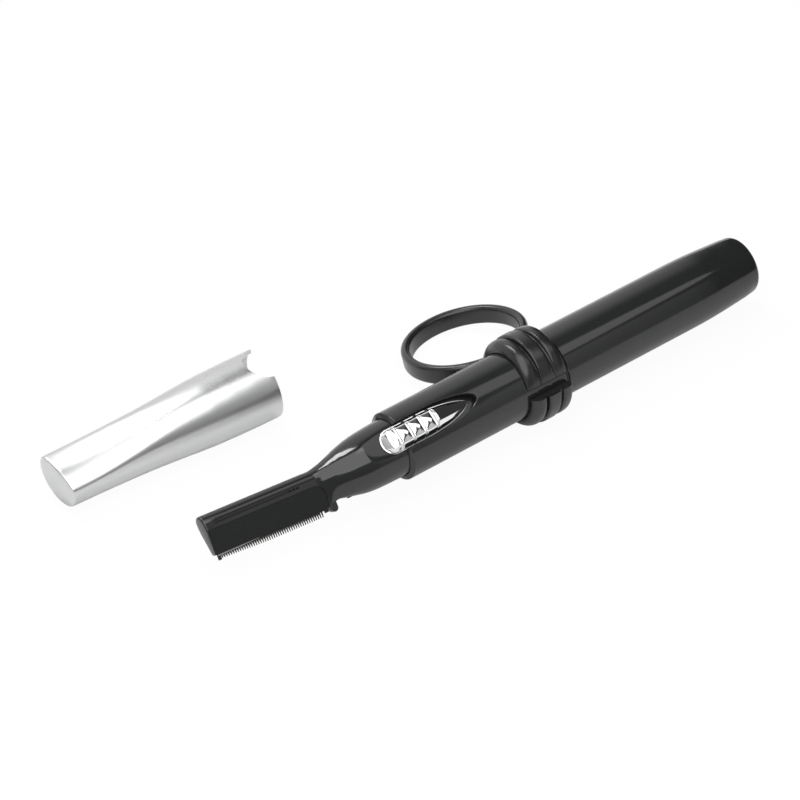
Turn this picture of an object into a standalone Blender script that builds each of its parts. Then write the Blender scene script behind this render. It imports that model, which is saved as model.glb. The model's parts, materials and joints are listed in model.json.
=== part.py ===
"""Battery pen trimmer with a side blade, a sliding switch, a clip-on finger ring and a loose cap.

The pen lies along X with its nose towards -X. Stations are counted from the tip of the nose,
and the empty pen_axis moves them so that the world's origin is the middle of the tail's flat end.
"""

import bisect
import math

import bmesh
import bpy
from mathutils import Matrix, Vector

MM = 0.001

# Facets and clearances
ROUND_STEPS = 40
SMALL_STEPS = 16
MITRE_LIMIT = 0.3
SMOOTH_ANGLE = math.radians(32)
MERGE = 0.00001 * MM
OVERRUN = 1.0 * MM
SEAM_GAP = 0.05 * MM
FIT_GAP = 0.15 * MM
RUN_GAP = 0.25 * MM

# Barrel
BARREL_RADIUS = 7.5 * MM
BARREL_WALL = 1.0 * MM
SHOULDER_CHAMFER = 0.35 * MM
SPIGOT_LENGTH = 8.0 * MM
SPIGOT_WALL = 0.7 * MM
SPIGOT_CHAMFER = 0.25 * MM
BORE_STEP_LAND = 0.8 * MM

# Head: the flat blade carrier, canted upwards from the pen's axis
HEAD_LENGTH = 26.2 * MM
HEAD_UP = 4.55 * MM
HEAD_DOWN = 3.9 * MM
HEAD_HALF_THICKNESS = 1.95 * MM
HEAD_HALF_FOOT = 0.95 * MM
HEAD_CANT = math.radians(4.5)
HEAD_CANT_PIVOT = 13.7 * MM
HEAD_TURN = math.radians(-40)
PLATE_TOP = 1.3 * MM
NOSE_CHAMFER = 0.45 * MM
SHELL_WALL = 0.9 * MM
SLOT_HEIGHT = 2.95 * MM
SLOT_WIDTH = 0.35 * MM
SLOT_DEPTH = 0.45 * MM
SLOT_START = 2.2 * MM
SLOT_LENGTH = 19.8 * MM

# Neck: round, and pushed into the barrel's mouth
NECK_LENGTH = 19.1 * MM
NECK_RADIUS = BARREL_RADIUS - BARREL_WALL - FIT_GAP
NECK_WALL = 1.65 * MM
MECHANISM_BORE = NECK_RADIUS - NECK_WALL
BORE_TIP_RADIUS = 2.4 * MM

# Switch pocket and the facet it stands on
SWITCH_TURN = math.radians(34)
POCKET_LENGTH = 19.1 * MM
POCKET_HALF_WIDTH = 3.2 * MM
POCKET_OGIVE = 11.5 * MM
FACET_DEPTH = 0.85 * MM
FACET_DIP = 1.0 * MM
FLOOR_BEHIND_POCKET = 0.5 * MM

# Switch
BUTTON_LENGTH = 21.6 * MM
BUTTON_HALF_WIDTH = 2.65 * MM
BUTTON_TIP_GAP = 1.8 * MM
BUTTON_OGIVE = 11.5 * MM
BUTTON_NOSE = 2.4 * MM
BUTTON_EDGE = 1.15 * MM
BUTTON_CROWN = 0.95 * MM
BUTTON_FULLNESS = 0.85
POCKET_FULLNESS = 0.66
BUTTON_LIFT = 0.3 * MM
RIB_COUNT = 4
RIB_PITCH = 3.15 * MM
RIB_FIRST = 3.1 * MM
RIB_WIDTH = 0.5 * MM
RIB_HEIGHT = 0.4 * MM
SWITCH_TRAVEL = 3.0 * MM
STEM_LENGTH = 4.0 * MM
STEM_HALF_WIDTH = 0.7 * MM
CARRIER_LENGTH = 9.0 * MM
CARRIER_HALF_WIDTH = 1.5 * MM
CARRIER_THICKNESS = 0.6 * MM
WIPER_LENGTH = 7.8 * MM
WIPER_HALF_WIDTH = 1.0 * MM
WIPER_FOOT = 1.3 * MM
WIPER_BEND = 0.35 * MM
METAL_STRIP = 0.25 * MM
CONTACT_HALF_WIDTH = 0.8 * MM
FRONT_CONTACT_LENGTH = 3.8 * MM
BOARD_LENGTH = 17.7 * MM
BOARD_THICKNESS = 0.4 * MM
BOARD_SHELF = MECHANISM_BORE / 2
BOARD_LEAD = 0.85 * MM
CONTACT_RISE = 0.2 * MM

# Comb, cutter and their cover
COVER_THICKNESS = 0.3 * MM
COVER_OVERHANG = 0.9 * MM
COVER_CORNER = 2.4 * MM
COVER_RIM = 0.6 * MM
COVER_SILL = 0.05 * MM
CHANNEL_END_WALL = 0.65 * MM
CHANNEL_FRONT = 0.55 * MM
CHANNEL_BACK = 0.6 * MM
FRONT_WALL_END = 2.6 * MM
COMB_FRONT = 0.45 * MM
COMB_THICKNESS = 0.28 * MM
COMB_TOP = 1.6 * MM
COMB_BODY_DEPTH = 4.1 * MM
TOOTH_LENGTH = 0.62 * MM
TOOTH_PITCH = 0.52 * MM
TOOTH_TIP_SHARE = 0.3
TOOTH_ROOT_SHARE = 0.56
COMB_MARGIN = 1.0 * MM
END_LUG_LENGTH = 0.7 * MM
END_LUG_DEPTH = 0.9 * MM
ROOT_LUG_GAP = 0.4 * MM
ROOT_LUG_LENGTH = 0.9 * MM
ROOT_LUG_DEPTH = 0.5 * MM
CUTTER_THICKNESS = 0.25 * MM
CUTTER_TOP = 1.2 * MM
CUTTER_SHORTER = 0.14 * MM
SPRING_LEAF = 0.15 * MM
SPRING_LEAF_HEIGHT = 1.3 * MM
SPRING_LEAF_DEPTH = 2.1 * MM
LATCH_LENGTH = 1.6 * MM
LATCH_HALF_WIDTH = 0.95 * MM
LATCH_SETBACK = 0.35 * MM
LATCH_DEPTH = 4.3 * MM
LATCH_HEIGHT = 1.7 * MM

# Drive: rod, bell-crank lever and eccentric
ROD_DEPTH = 0.9 * MM
ROD_HALF_HEIGHT = 0.35 * MM
ROD_FRONT = 0.38 * MM
ROD_BACK = 0.45 * MM
ROD_START = 5.5 * MM
PIVOT_SETBACK = 6.3 * MM
YOKE_HALF_LENGTH = 1.35 * MM
YOKE_HALF_WIDTH = 0.65 * MM
YOKE_TOP = 0.2 * MM
YOKE_FLOOR = 1.2 * MM
YOKE_BOTTOM = 1.55 * MM
LEVER_HALF_THICKNESS = 0.4 * MM
LEVER_TIP_RADIUS = 0.4 * MM
LEVER_TIP_DEPTH = 0.7 * MM
HUB_ARC_START = 32
HUB_ARC_END = 205
LEVER_HUB_RADIUS = 1.5 * MM
PIN_RADIUS = 0.5 * MM
PIN_HEAD_RADIUS = 0.9 * MM
PIN_HEAD_HEIGHT = 0.4 * MM
PIN_BOSS_RADIUS = 1.35 * MM
PIN_DEPTH = 2.6 * MM
FORK_ROOT = 3.2 * MM
FORK_BRIDGE = 0.9 * MM
FORK_LENGTH = 8.4 * MM
FORK_ARM_HALF_WIDTH = 0.8 * MM
FORK_PRONG = 0.8 * MM
ECCENTRICITY = 0.55 * MM
CRANK_PIN_RADIUS = 0.4 * MM
CRANK_PIN_LENGTH = 4.0 * MM
ECCENTRIC_RADIUS = 1.6 * MM
ECCENTRIC_LENGTH = 2.4 * MM
ECCENTRIC_TO_MOTOR = 1.9 * MM
SHAFT_RADIUS = 0.5 * MM
SHAFT_GRIP = 1.6 * MM

# Motor
CHASSIS_WALL = 1.2 * MM
MOTOR_RADIUS = BARREL_RADIUS - BARREL_WALL - CHASSIS_WALL - 2 * FIT_GAP
MOTOR_LENGTH = 13.0 * MM
MOTOR_WALL = 0.4 * MM
MOTOR_TO_SHELL = 0.7 * MM
MOTOR_BOSS_RADIUS = 1.5 * MM
MOTOR_BOSS_HEIGHT = 0.5 * MM
MAGNET_THICKNESS = 0.6 * MM
AIR_GAP = 0.45 * MM
ARMATURE_RADIUS = MOTOR_RADIUS - MOTOR_WALL - FIT_GAP - MAGNET_THICKNESS - AIR_GAP
ARMATURE_WAIST = ARMATURE_RADIUS / 2
ARMATURE_LENGTH = 7.6 * MM
ARMATURE_SETBACK = 2.2 * MM
ARMATURE_POLES = 3
MAGNET_ARC = math.radians(104)
END_CAP_FLANGE = 1.0 * MM
END_CAP_PLUG = 1.3 * MM
TAB_LENGTH = 1.5 * MM
TAB_HALF_WIDTH = 0.8 * MM
TAB_INSET = 2.1 * MM

# Chassis and current path
TAB_ROOM = 2.2 * MM
BULKHEAD = 0.9 * MM
BULKHEAD_HOLE = 1.6 * MM
CONTACT_SEAT = 0.4 * MM
STRIP_HALF_WIDTH = 1.0 * MM
STRIP_CHANNEL = 1.2 * MM
STRIP_HEIGHT = BARREL_RADIUS - 2.2 * BARREL_WALL
STRIP_FOOT_RISE = 0.6 * MM
STRIP_FOOT_LENGTH = 2.6 * MM
CONTACT_REACH = 1.2 * MM
RETURN_INSET = 0.75 * MM
RETURN_HEIGHT = BARREL_RADIUS - BARREL_WALL - RETURN_INSET
RETURN_FOOT = 2.15 * MM
RETURN_REACH = 1.5 * MM

# Battery cell, its spring and the tail
CELL_ROOM = 0.45 * MM
CELL_RADIUS = BARREL_RADIUS - BARREL_WALL - FIT_GAP - SPIGOT_WALL - CELL_ROOM
CELL_LENGTH = 43.6 * MM
CELL_CHAMFER = 0.5 * MM
NUB_RADIUS = 1.9 * MM
NUB_HEIGHT = 0.95 * MM
SPRING_RADIUS = 3.3 * MM
SPRING_TIP_RADIUS = 2.2 * MM
SPRING_WIRE = 0.25 * MM
SPRING_ROOM = 10.15 * MM
SPRING_TURNS = 5
SPRING_PLATE_RADIUS = CELL_RADIUS - CELL_ROOM - FIT_GAP
TAIL_STRIP_GAP = 0.05 * MM
TAIL_STRIP_DROP = 1.2 * MM
SEAL_WIDTH = 0.5 * MM
SEAL_INSET = 0.15 * MM
TAIL_END_WALL = 1.4 * MM
TAIL_TAPER_LENGTH = 17.0 * MM
TAIL_END_INSET = 1.4 * MM
TAIL_END_RADIUS = BARREL_RADIUS - TAIL_END_INSET
TAIL_NARROWING = 0.85 * MM

# Clip with its finger ring
CLIP_LENGTH = 9.9 * MM
CLIP_THICKNESS = 2.4 * MM
CLIP_TO_SEAM = 0.3 * MM
CLIP_GAP_START = math.radians(9)
CLIP_GAP_END = math.radians(26)
CLIP_TAPER = math.radians(22)
CLIP_TAPER_SHARE = 0.5
CLIP_STEP = math.radians(7.5)
RING_SIDE = math.radians(12.4)
RING_DROOP = math.radians(15)
RING_LEAN = math.radians(-1.8)
RING_SHIFT = 0.45 * MM
RING_RADIUS = 13.95 * MM
RING_WALL = 1.96 * MM
RING_HALF_HEIGHT = 2.15 * MM
RING_EDGE = 0.55 * MM
RING_SINK = 1.95 * MM
RING_STEPS = 44

# Cap, lying beside the pen
CAP_LENGTH = 50.4 * MM
CAP_WALL = 0.95 * MM
CAP_OVERSIZE = 0.28 * MM
CAP_MOUTH_RADIUS = BARREL_RADIUS + CAP_OVERSIZE
CAP_NARROWING = 1.74 * MM
CAP_END_RADIUS = CAP_MOUTH_RADIUS - CAP_NARROWING
CAP_END_SLANT = math.radians(7)
CAP_FLAT_TURN = math.radians(10)
CAP_FLAT_SINK = 2.3 * MM
CAP_END_FLAT = CAP_END_RADIUS - CAP_FLAT_SINK
CAP_FLAT_BOW = 14.6 * MM
CAP_FLAT_FADE = 1.6 * MM
CAP_CORNER = 0.3 * MM
CAP_EDGE = 0.35 * MM
CAP_END_THICKNESS = 1.2 * MM
CAP_STEPS = 48
NOTCH_HALF_WIDTH = 4.7 * MM
NOTCH_DEPTH = 4.3 * MM
CAP_FROM_SHOULDER = 6.9 * MM
CAP_BESIDE = 36.0 * MM
CAP_YAW = math.radians(-3.75)
CAP_ROLL = math.radians(6)

# Outlines as shares of the sizes they follow
# Head section: (share of the half thickness or foot, share of the height up or down)
SPINE_SHARES = ((0.0, 1.0), (0.4, 0.97), (0.72, 0.87), (0.88, 0.74), (0.93, 0.62))
# Neck: share of the length, then how far each size has gone from head to neck
NECK_SHARES = (
    (0.00, 0.00, 0.00, 0.00, 0.00),
    (0.07, 0.06, -0.15, 0.06, 0.15),
    (0.17, 0.18, -0.38, 0.22, 0.50),
    (0.28, 0.38, -0.05, 0.42, 0.80),
    (0.38, 0.57, 0.28, 0.59, 0.95),
    (0.50, 0.75, 0.66, 0.75, 1.00),
    (0.62, 0.87, 0.86, 0.87, 1.00),
    (0.75, 0.94, 0.94, 0.94, 1.00),
    (0.88, 0.985, 0.98, 0.985, 1.00),
    (1.00, 1.00, 1.00, 1.00, 1.00),
)
# Tail: share of the taper's length, share of the narrowing
TAIL_SHARES = ((0.0, 0.0), (0.25, 0.10), (0.45, 0.30), (0.65, 0.56), (0.84, 0.80), (0.93, 1.0))
# Clip ridges: share of the length, share of the thickness
CLIP_SHARES = (
    (0.00, 0.20), (0.015, 0.38), (0.06, 0.62), (0.12, 0.80), (0.19, 0.88), (0.26, 0.87), (0.30, 0.80),
    (0.32, 0.58), (0.345, 0.58), (0.365, 0.92), (0.42, 1.00), (0.60, 1.00), (0.655, 0.93),
    (0.685, 0.66), (0.72, 0.66), (0.75, 0.90), (0.81, 0.96), (0.91, 0.93), (0.97, 0.82), (1.00, 0.55),
)
# Cap: share of the length, share of the widening from end to mouth
CAP_SHARES = (
    (0.00, 0.00), (0.12, 0.03), (0.22, 0.08), (0.32, 0.16), (0.42, 0.28), (0.49, 0.42),
    (0.56, 0.57), (0.63, 0.73), (0.70, 0.87), (0.80, 0.96), (0.90, 1.00), (1.00, 1.00),
)
CAP_FLAT_LENGTH_SHARE = 0.88

# Switch facet on the neck: share of the neck's length before the shoulder, share of the dip
FACET_SHARES = ((0.0, 0.0), (0.2, 0.0), (0.43, 0.06), (0.6, 0.33), (1.0, 1.0))

# Stations along the pen, each from the piece before it
NECK_START = HEAD_LENGTH
COVER_END = HEAD_LENGTH + COVER_OVERHANG
COMB_START = COMB_MARGIN + END_LUG_LENGTH
COMB_TOOTH_COUNT = int((COVER_END - ROOT_LUG_GAP - ROOT_LUG_LENGTH - FIT_GAP - COMB_START) / TOOTH_PITCH)
LATCH_START = COVER_END + LATCH_SETBACK
SHOULDER = NECK_START + NECK_LENGTH
POCKET_TIP = SHOULDER + POCKET_LENGTH
SHELL_END = POCKET_TIP + FLOOR_BEHIND_POCKET
PIVOT = SHOULDER + PIVOT_SETBACK
STEM_START = PIVOT - STEM_LENGTH / 4
BOARD_START = SHOULDER - BOARD_LEAD
MOTOR_FRONT = SHELL_END + MOTOR_TO_SHELL
MOTOR_REAR = MOTOR_FRONT + MOTOR_LENGTH
END_CAP_REAR = MOTOR_REAR + END_CAP_FLANGE
BULKHEAD_FRONT = END_CAP_REAR + TAB_ROOM
BULKHEAD_REAR = BULKHEAD_FRONT + BULKHEAD
CONTACT_FACE = BULKHEAD_REAR + CONTACT_SEAT
CELL_NUB = CONTACT_FACE + METAL_STRIP + RUN_GAP
CELL_FRONT = CELL_NUB + NUB_HEIGHT
CELL_REAR = CELL_FRONT + CELL_LENGTH
BORE_STEP = CELL_FRONT + RUN_GAP
SEAM = BORE_STEP + BORE_STEP_LAND
SPIGOT_END = SEAM + SPIGOT_LENGTH
TAIL_INNER = CELL_REAR + SPRING_ROOM
LENGTH = TAIL_INNER + TAIL_END_WALL
TAIL_FRONT = SEAM + SEAL_WIDTH + 2 * SEAM_GAP
CLIP_REAR = SEAM - CLIP_TO_SEAM
CLIP_FRONT = CLIP_REAR - CLIP_LENGTH
BUTTON_TIP = POCKET_TIP - BUTTON_TIP_GAP
BUTTON_FRONT = BUTTON_TIP - BUTTON_LENGTH
ECCENTRIC_REAR = MOTOR_FRONT - ECCENTRIC_TO_MOTOR
ECCENTRIC_FRONT = ECCENTRIC_REAR - ECCENTRIC_LENGTH
FLOOR_HEIGHT = NECK_RADIUS - FACET_DEPTH

# Places across the pen
CLIP_BORE = BARREL_RADIUS + FIT_GAP
CLIP_RADIUS = CLIP_BORE + CLIP_THICKNESS
BARREL_BORE = BARREL_RADIUS - BARREL_WALL
PIN_BOSS_START = LEVER_HALF_THICKNESS + FIT_GAP
CUTTER_FRONT = -COMB_FRONT + COMB_THICKNESS + SEAM_GAP
CUTTER_BACK = CUTTER_FRONT + CUTTER_THICKNESS
FORK_SLOT = 2 * ECCENTRICITY + CRANK_PIN_RADIUS + FIT_GAP


def clear_scene():
    for item in list(bpy.data.objects):
        bpy.data.objects.remove(item, do_unlink=True)


def finish(name, colour, roughness, metallic=0.0):
    material = bpy.data.materials.new(name)
    material.use_nodes = True
    surface = material.node_tree.nodes["Principled BSDF"]
    surface.inputs["Base Color"].default_value = (*colour, 1.0)
    surface.inputs["Roughness"].default_value = roughness
    surface.inputs["Metallic"].default_value = metallic
    return material


def holder(name, parent=None, location=(0, 0, 0), rotation=(0, 0, 0)):
    empty = bpy.data.objects.new(name, None)
    empty.location = location
    empty.rotation_euler = rotation
    empty.parent = parent
    bpy.context.scene.collection.objects.link(empty)
    return empty


def piece(name, shape, surface, parent):
    """Turns a bmesh into a named object with one material."""
    bmesh.ops.recalc_face_normals(shape, faces=shape.faces)
    mesh = bpy.data.meshes.new(name)
    shape.to_mesh(mesh)
    shape.free()
    mesh.materials.append(surface)
    mesh.shade_smooth()
    mesh.set_sharp_from_angle(angle=SMOOTH_ANGLE)
    item = bpy.data.objects.new(name, mesh)
    item.parent = parent
    bpy.context.scene.collection.objects.link(item)
    return item


def tool(name, shape, parent):
    """A shape that only cuts or joins others, so it stays out of renders."""
    bmesh.ops.recalc_face_normals(shape, faces=shape.faces)
    mesh = bpy.data.meshes.new(name)
    shape.to_mesh(mesh)
    shape.free()
    item = bpy.data.objects.new(name, mesh)
    item.parent = parent
    item.hide_render = True
    item.display_type = "WIRE"
    bpy.context.scene.collection.objects.link(item)
    return item


def combine(item, other, operation="DIFFERENCE"):
    change = item.modifiers.new(other.name, "BOOLEAN")
    change.operation = operation
    change.solver = "EXACT"
    change.object = other


def turned(profile, closed=False, steps=ROUND_STEPS):
    """Spins (station, radius) points about X. Open profiles start and end on the axis."""
    shape = bmesh.new()
    verts = [shape.verts.new((station, 0, radius)) for station, radius in profile]
    pairs = list(zip(verts, verts[1:]))
    if closed:
        pairs.append((verts[-1], verts[0]))
    edges = [shape.edges.new(pair) for pair in pairs]
    bmesh.ops.spin(
        shape, geom=verts + edges, axis=(1, 0, 0), cent=(0, 0, 0),
        angle=math.tau, steps=steps, use_merge=True, use_duplicate=False,
    )
    bmesh.ops.remove_doubles(shape, verts=shape.verts, dist=MERGE)
    return shape


def rod(start, end, radius, steps=SMALL_STEPS):
    return turned(((start, 0), (start, radius), (end, radius), (end, 0)), steps=steps)


def lofted(rings, capped=True):
    """Joins rings of points by quads, each ring with as many points as the next."""
    shape = bmesh.new()
    loops = [[shape.verts.new(point) for point in ring] for ring in rings]
    for first, second in zip(loops, loops[1:]):
        for index, vert in enumerate(first):
            before = index - 1
            shape.faces.new((first[before], vert, second[index], second[before]))
    if capped:
        shape.faces.new(loops[0])
        shape.faces.new(loops[-1])
    return shape


def slab(outline, low, high, across="Y"):
    """Extrudes an outline of (station, height) along Y, or of (station, side) along Z."""
    shape = bmesh.new()
    if across == "Y":
        verts = [shape.verts.new((station, low, height)) for station, height in outline]
        reach = Vector((0, high - low, 0))
    else:
        verts = [shape.verts.new((station, side, low)) for station, side in outline]
        reach = Vector((0, 0, high - low))
    face = shape.faces.new(verts)
    grown = bmesh.ops.extrude_face_region(shape, geom=[face])
    moved = [item for item in grown["geom"] if isinstance(item, bmesh.types.BMVert)]
    bmesh.ops.translate(shape, verts=moved, vec=reach)
    return shape


def block(low, high):
    shape = bmesh.new()
    bmesh.ops.create_cube(shape, size=1)
    low, high = Vector(low), Vector(high)
    middle = (low + high) / 2
    span = high - low
    for vert in shape.verts:
        vert.co = Vector(a * b for a, b in zip(vert.co, span)) + middle
    return shape


def arc(centre, radius, start, end, count):
    """Points on a circle, with angles in degrees."""
    for index in range(count + 1):
        angle = math.radians(start + (end - start) * index / count)
        yield (centre[0] + radius * math.cos(angle), centre[1] + radius * math.sin(angle))


def between(low, high, share):
    return low + (high - low) * share


def read_shares(table, share):
    """Reads a table of (place, value) shares, with straight lines between its rows."""
    places = [row[0] for row in table]
    row = min(max(bisect.bisect_right(places, share), 1), len(table) - 1)
    (place_a, value_a), (place_b, value_b) = table[row - 1], table[row]
    return between(value_a, value_b, (share - place_a) / (place_b - place_a))


def strip_path(path, thickness):
    """A bent metal strip's outline: its path of (station, height) and the same path moved inwards."""
    offset = []
    for index, point in enumerate(path):
        before = Vector(path[max(index - 1, 0)])
        after = Vector(path[min(index + 1, len(path) - 1)])
        here = Vector(point)
        first = (here - before).normalized() if index else (after - here).normalized()
        last = (after - here).normalized() if index < len(path) - 1 else first
        bisector = (Vector((-first.y, first.x)) + Vector((-last.y, last.x))).normalized()
        reach = thickness / max(bisector.dot(Vector((-first.y, first.x))), MITRE_LIMIT)
        offset.append(tuple(here + bisector * reach))
    return list(path) + offset[::-1]


def head_section():
    """Half of the head's outline as (side, height), from the spine down to the foot."""
    half = [(share_y * HEAD_HALF_THICKNESS, share_z * HEAD_UP) for share_y, share_z in SPINE_SHARES]
    half.append((HEAD_HALF_THICKNESS, PLATE_TOP))
    steps = 6
    for index in range(1, steps + 1):
        share = index / steps
        side = between(HEAD_HALF_THICKNESS, HEAD_HALF_FOOT, share)
        half.append((side, between(PLATE_TOP, -HEAD_DOWN, share)))
    half.append((0, -HEAD_DOWN))
    return half


def cant_height(station):
    """How far the head's middle lies above the pen's axis."""
    return (HEAD_CANT_PIVOT - station) * math.tan(HEAD_CANT)


def shell_rings(way):
    """Half sections from the nose to the neck's end inside the barrel, on one side of the parting."""
    outline = head_section()
    last = len(outline) - 1
    arcs = [math.pi * index / last for index in range(last + 1)]
    round_outline = [(math.sin(angle), math.cos(angle)) for angle in arcs]
    rings = []
    for station, shrink in ((0, NOSE_CHAMFER), (NOSE_CHAMFER, 0), (HEAD_LENGTH / 2, 0)):
        ring = []
        for side, height in outline:
            scale_y = 1 - shrink / HEAD_HALF_THICKNESS
            scale_z = 1 - shrink / HEAD_UP
            ring.append((station, side * scale_y, height * scale_z + cant_height(station)))
        rings.append(ring)
    drop = cant_height(NECK_START)
    for place, up, down, thick, rounding in NECK_SHARES:
        station = between(NECK_START, SHOULDER, place)
        top = between(HEAD_UP + drop, NECK_RADIUS, up)
        bottom = between(HEAD_DOWN - drop, NECK_RADIUS, down)
        half = between(HEAD_HALF_THICKNESS, NECK_RADIUS, thick)
        middle = between(drop, 0, rounding)
        ring = []
        for (side, height), (round_side, round_height) in zip(outline, round_outline):
            y = between(side / HEAD_HALF_THICKNESS, round_side, rounding) * half
            z_head = height / (HEAD_UP if height > 0 else HEAD_DOWN)
            z = between(z_head, round_height, rounding)
            reach = (top - middle) if z > 0 else (bottom + middle)
            ring.append((station, y, middle + z * reach))
        rings.append(ring)
    rings.append([(SHELL_END, y, z) for _, y, z in rings[-1]])
    return [[(x, way * max(y, SEAM_GAP / 2), z) for x, y, z in ring] for ring in rings]


def facet_profile():
    """Side view of the flat that is planed off the neck for the switch."""
    top = BARREL_RADIUS + OVERRUN
    outline = [(SHELL_END + OVERRUN, top), (SHELL_END + OVERRUN, FLOOR_HEIGHT)]
    for place, share in FACET_SHARES:
        outline.append((SHOULDER - NECK_LENGTH * place, FLOOR_HEIGHT - FACET_DIP * share))
    outline.append((NECK_START, top))
    return outline


def ogive(front, tip, half_width, nose, point_length, fullness, count=8):
    """Plan outline with a round nose and a pointed rear, as (station, side)."""
    side = []
    for index in range(count):
        turn = math.pi / 2 * index / count
        side.append((front + nose * (1 - math.cos(turn)), half_width * math.sin(turn)))
    for index in range(count + 1):
        share = math.sin(math.pi / 2 * index / count)
        width = half_width * max(1 - share * share, 0) ** fullness
        side.append((between(tip - point_length, tip, share), width))
    mirrored = [(station, -y) for station, y in side[1:-1]][::-1]
    return side + mirrored


def make_head(frames, finishes):
    """Both head shells: one loft, hollowed for the blade and the drive, then parted along its middle."""
    bore_front = between(NECK_START, SHOULDER, 0.2)
    bore = turned(
        (
            (bore_front, 0),
            (bore_front, BORE_TIP_RADIUS),
            (between(NECK_START, SHOULDER, 0.45), MECHANISM_BORE - SHELL_WALL),
            (between(NECK_START, SHOULDER, 0.82), MECHANISM_BORE),
            (SHELL_END + OVERRUN, MECHANISM_BORE),
            (SHELL_END + OVERRUN, 0),
        ),
    )
    bore_tool = tool("mechanism_bore", bore, frames["neck"])
    facet_tool = tool(
        "switch_facet",
        slab(facet_profile(), -2 * BARREL_RADIUS, 2 * BARREL_RADIUS),
        frames["switch"],
    )
    channel_tool = tool(
        "blade_channel",
        block(
            (CHANNEL_END_WALL, -CHANNEL_FRONT, -HEAD_DOWN - OVERRUN - TOOTH_LENGTH),
            (COVER_END - FIT_GAP, CHANNEL_BACK, -ROD_DEPTH + ROD_HALF_HEIGHT + FIT_GAP),
        ),
        frames["head"],
    )
    tunnel_tool = tool(
        "rod_tunnel",
        block(
            (HEAD_LENGTH - OVERRUN, -ROD_FRONT - FIT_GAP, -ROD_DEPTH - ROD_HALF_HEIGHT - FIT_GAP),
            (between(NECK_START, SHOULDER, 0.5), ROD_BACK + FIT_GAP, -ROD_DEPTH + ROD_HALF_HEIGHT + RUN_GAP),
        ),
        frames["head"],
    )
    latch_tool = tool(
        "latch_pocket",
        block(
            (LATCH_START - FIT_GAP, -LATCH_HALF_WIDTH - FIT_GAP, -LATCH_DEPTH - 2 * OVERRUN),
            (
                LATCH_START + LATCH_LENGTH + FIT_GAP,
                LATCH_HALF_WIDTH + FIT_GAP,
                -LATCH_DEPTH + LATCH_HEIGHT + FIT_GAP,
            ),
        ),
        frames["head"],
    )
    stem_start = STEM_START - SWITCH_TRAVEL
    slot_tool = tool(
        "stem_slot",
        block(
            (stem_start - RUN_GAP, -STEM_HALF_WIDTH - RUN_GAP, FLOOR_HEIGHT - SHELL_WALL - OVERRUN),
            (STEM_START + STEM_LENGTH + RUN_GAP, STEM_HALF_WIDTH + RUN_GAP, FLOOR_HEIGHT + OVERRUN),
        ),
        frames["switch"],
    )
    shells = {}
    for way, name in ((-1, "head_front_shell"), (1, "head_back_shell")):
        shell = piece(name, lofted(shell_rings(way)), finishes["gloss"], frames["neck"])
        for cutter in (facet_tool, bore_tool, channel_tool, tunnel_tool, latch_tool):
            combine(shell, cutter)
        shells[name] = shell
    front, back = shells["head_front_shell"], shells["head_back_shell"]
    combine(front, slot_tool)
    combine(front, tool("cover_seat", cover_shape(COVER_THICKNESS + 2 * SEAM_GAP, SEAM_GAP), frames["cover"]))
    combine(
        front,
        tool(
            "front_wall_window",
            block(
                (CHANNEL_END_WALL + SEAM_GAP, -HEAD_HALF_THICKNESS - OVERRUN, -HEAD_DOWN - OVERRUN),
                (COVER_END - RUN_GAP, CHANNEL_BACK / 2, -FRONT_WALL_END),
            ),
            frames["head"],
        ),
    )
    combine(
        front,
        tool(
            "spine_slot",
            block(
                (SLOT_START, -HEAD_HALF_THICKNESS - OVERRUN, SLOT_HEIGHT - SLOT_WIDTH / 2),
                (SLOT_START + SLOT_LENGTH, -HEAD_HALF_THICKNESS + SLOT_DEPTH, SLOT_HEIGHT + SLOT_WIDTH / 2),
            ),
            frames["head"],
        ),
    )
    boss = rod(0, MECHANISM_BORE - PIN_BOSS_START + SHELL_WALL / 2, PIN_BOSS_RADIUS)
    boss_tool = tool("pivot_boss", boss, frames["pivot_boss"])
    combine(back, boss_tool, "UNION")
    hole = rod(-OVERRUN, PIN_DEPTH + FIT_GAP, PIN_RADIUS + SEAM_GAP)
    combine(back, tool("pivot_hole", hole, frames["pivot_boss"]))


def cover_shape(depth, grow):
    """The blade cover's outline, sunk into the front face by depth and larger by grow all round."""
    low = -HEAD_DOWN - PLATE_TOP
    start = COVER_RIM - grow
    end = COVER_END + grow
    top = grow
    corner = COVER_CORNER + grow
    outline = [(start, low - grow), (start, top)]
    outline += arc((end - corner, top - corner), corner, 90, 0, 6)
    outline.append((end, low - grow))
    return slab(outline, COVER_SILL, COVER_SILL + depth) if not grow else slab(outline, -OVERRUN, depth)


def toothed_outline(start, count, root, depth):
    """Lower edge of a blade plate with its teeth, as (station, height)."""
    outline = []
    for index in range(count):
        middle = start + (index + 0.5) * TOOTH_PITCH
        foot = TOOTH_PITCH * TOOTH_ROOT_SHARE / 2
        tip = TOOTH_PITCH * TOOTH_TIP_SHARE / 2
        outline.append((middle - foot, -root))
        outline.append((middle - tip, -root - depth))
        outline.append((middle + tip, -root - depth))
        outline.append((middle + foot, -root))
    return outline


def comb_outline():
    """The comb: a long lug in front, tapered teeth, and a short lug at the rear."""
    front = COMB_START - END_LUG_LENGTH
    teeth_end = COMB_START + COMB_TOOTH_COUNT * TOOTH_PITCH
    lug = teeth_end + ROOT_LUG_GAP
    end = lug + ROOT_LUG_LENGTH
    root = COMB_BODY_DEPTH
    outline = [(front, -COMB_TOP), (front, -root - END_LUG_DEPTH), (COMB_START, -root - END_LUG_DEPTH)]
    outline.append((COMB_START, -root))
    outline += toothed_outline(COMB_START, COMB_TOOTH_COUNT, root, TOOTH_LENGTH)
    outline += [(lug, -root), (lug, -root - ROOT_LUG_DEPTH), (end, -root - ROOT_LUG_DEPTH), (end, -COMB_TOP)]
    return outline


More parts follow.
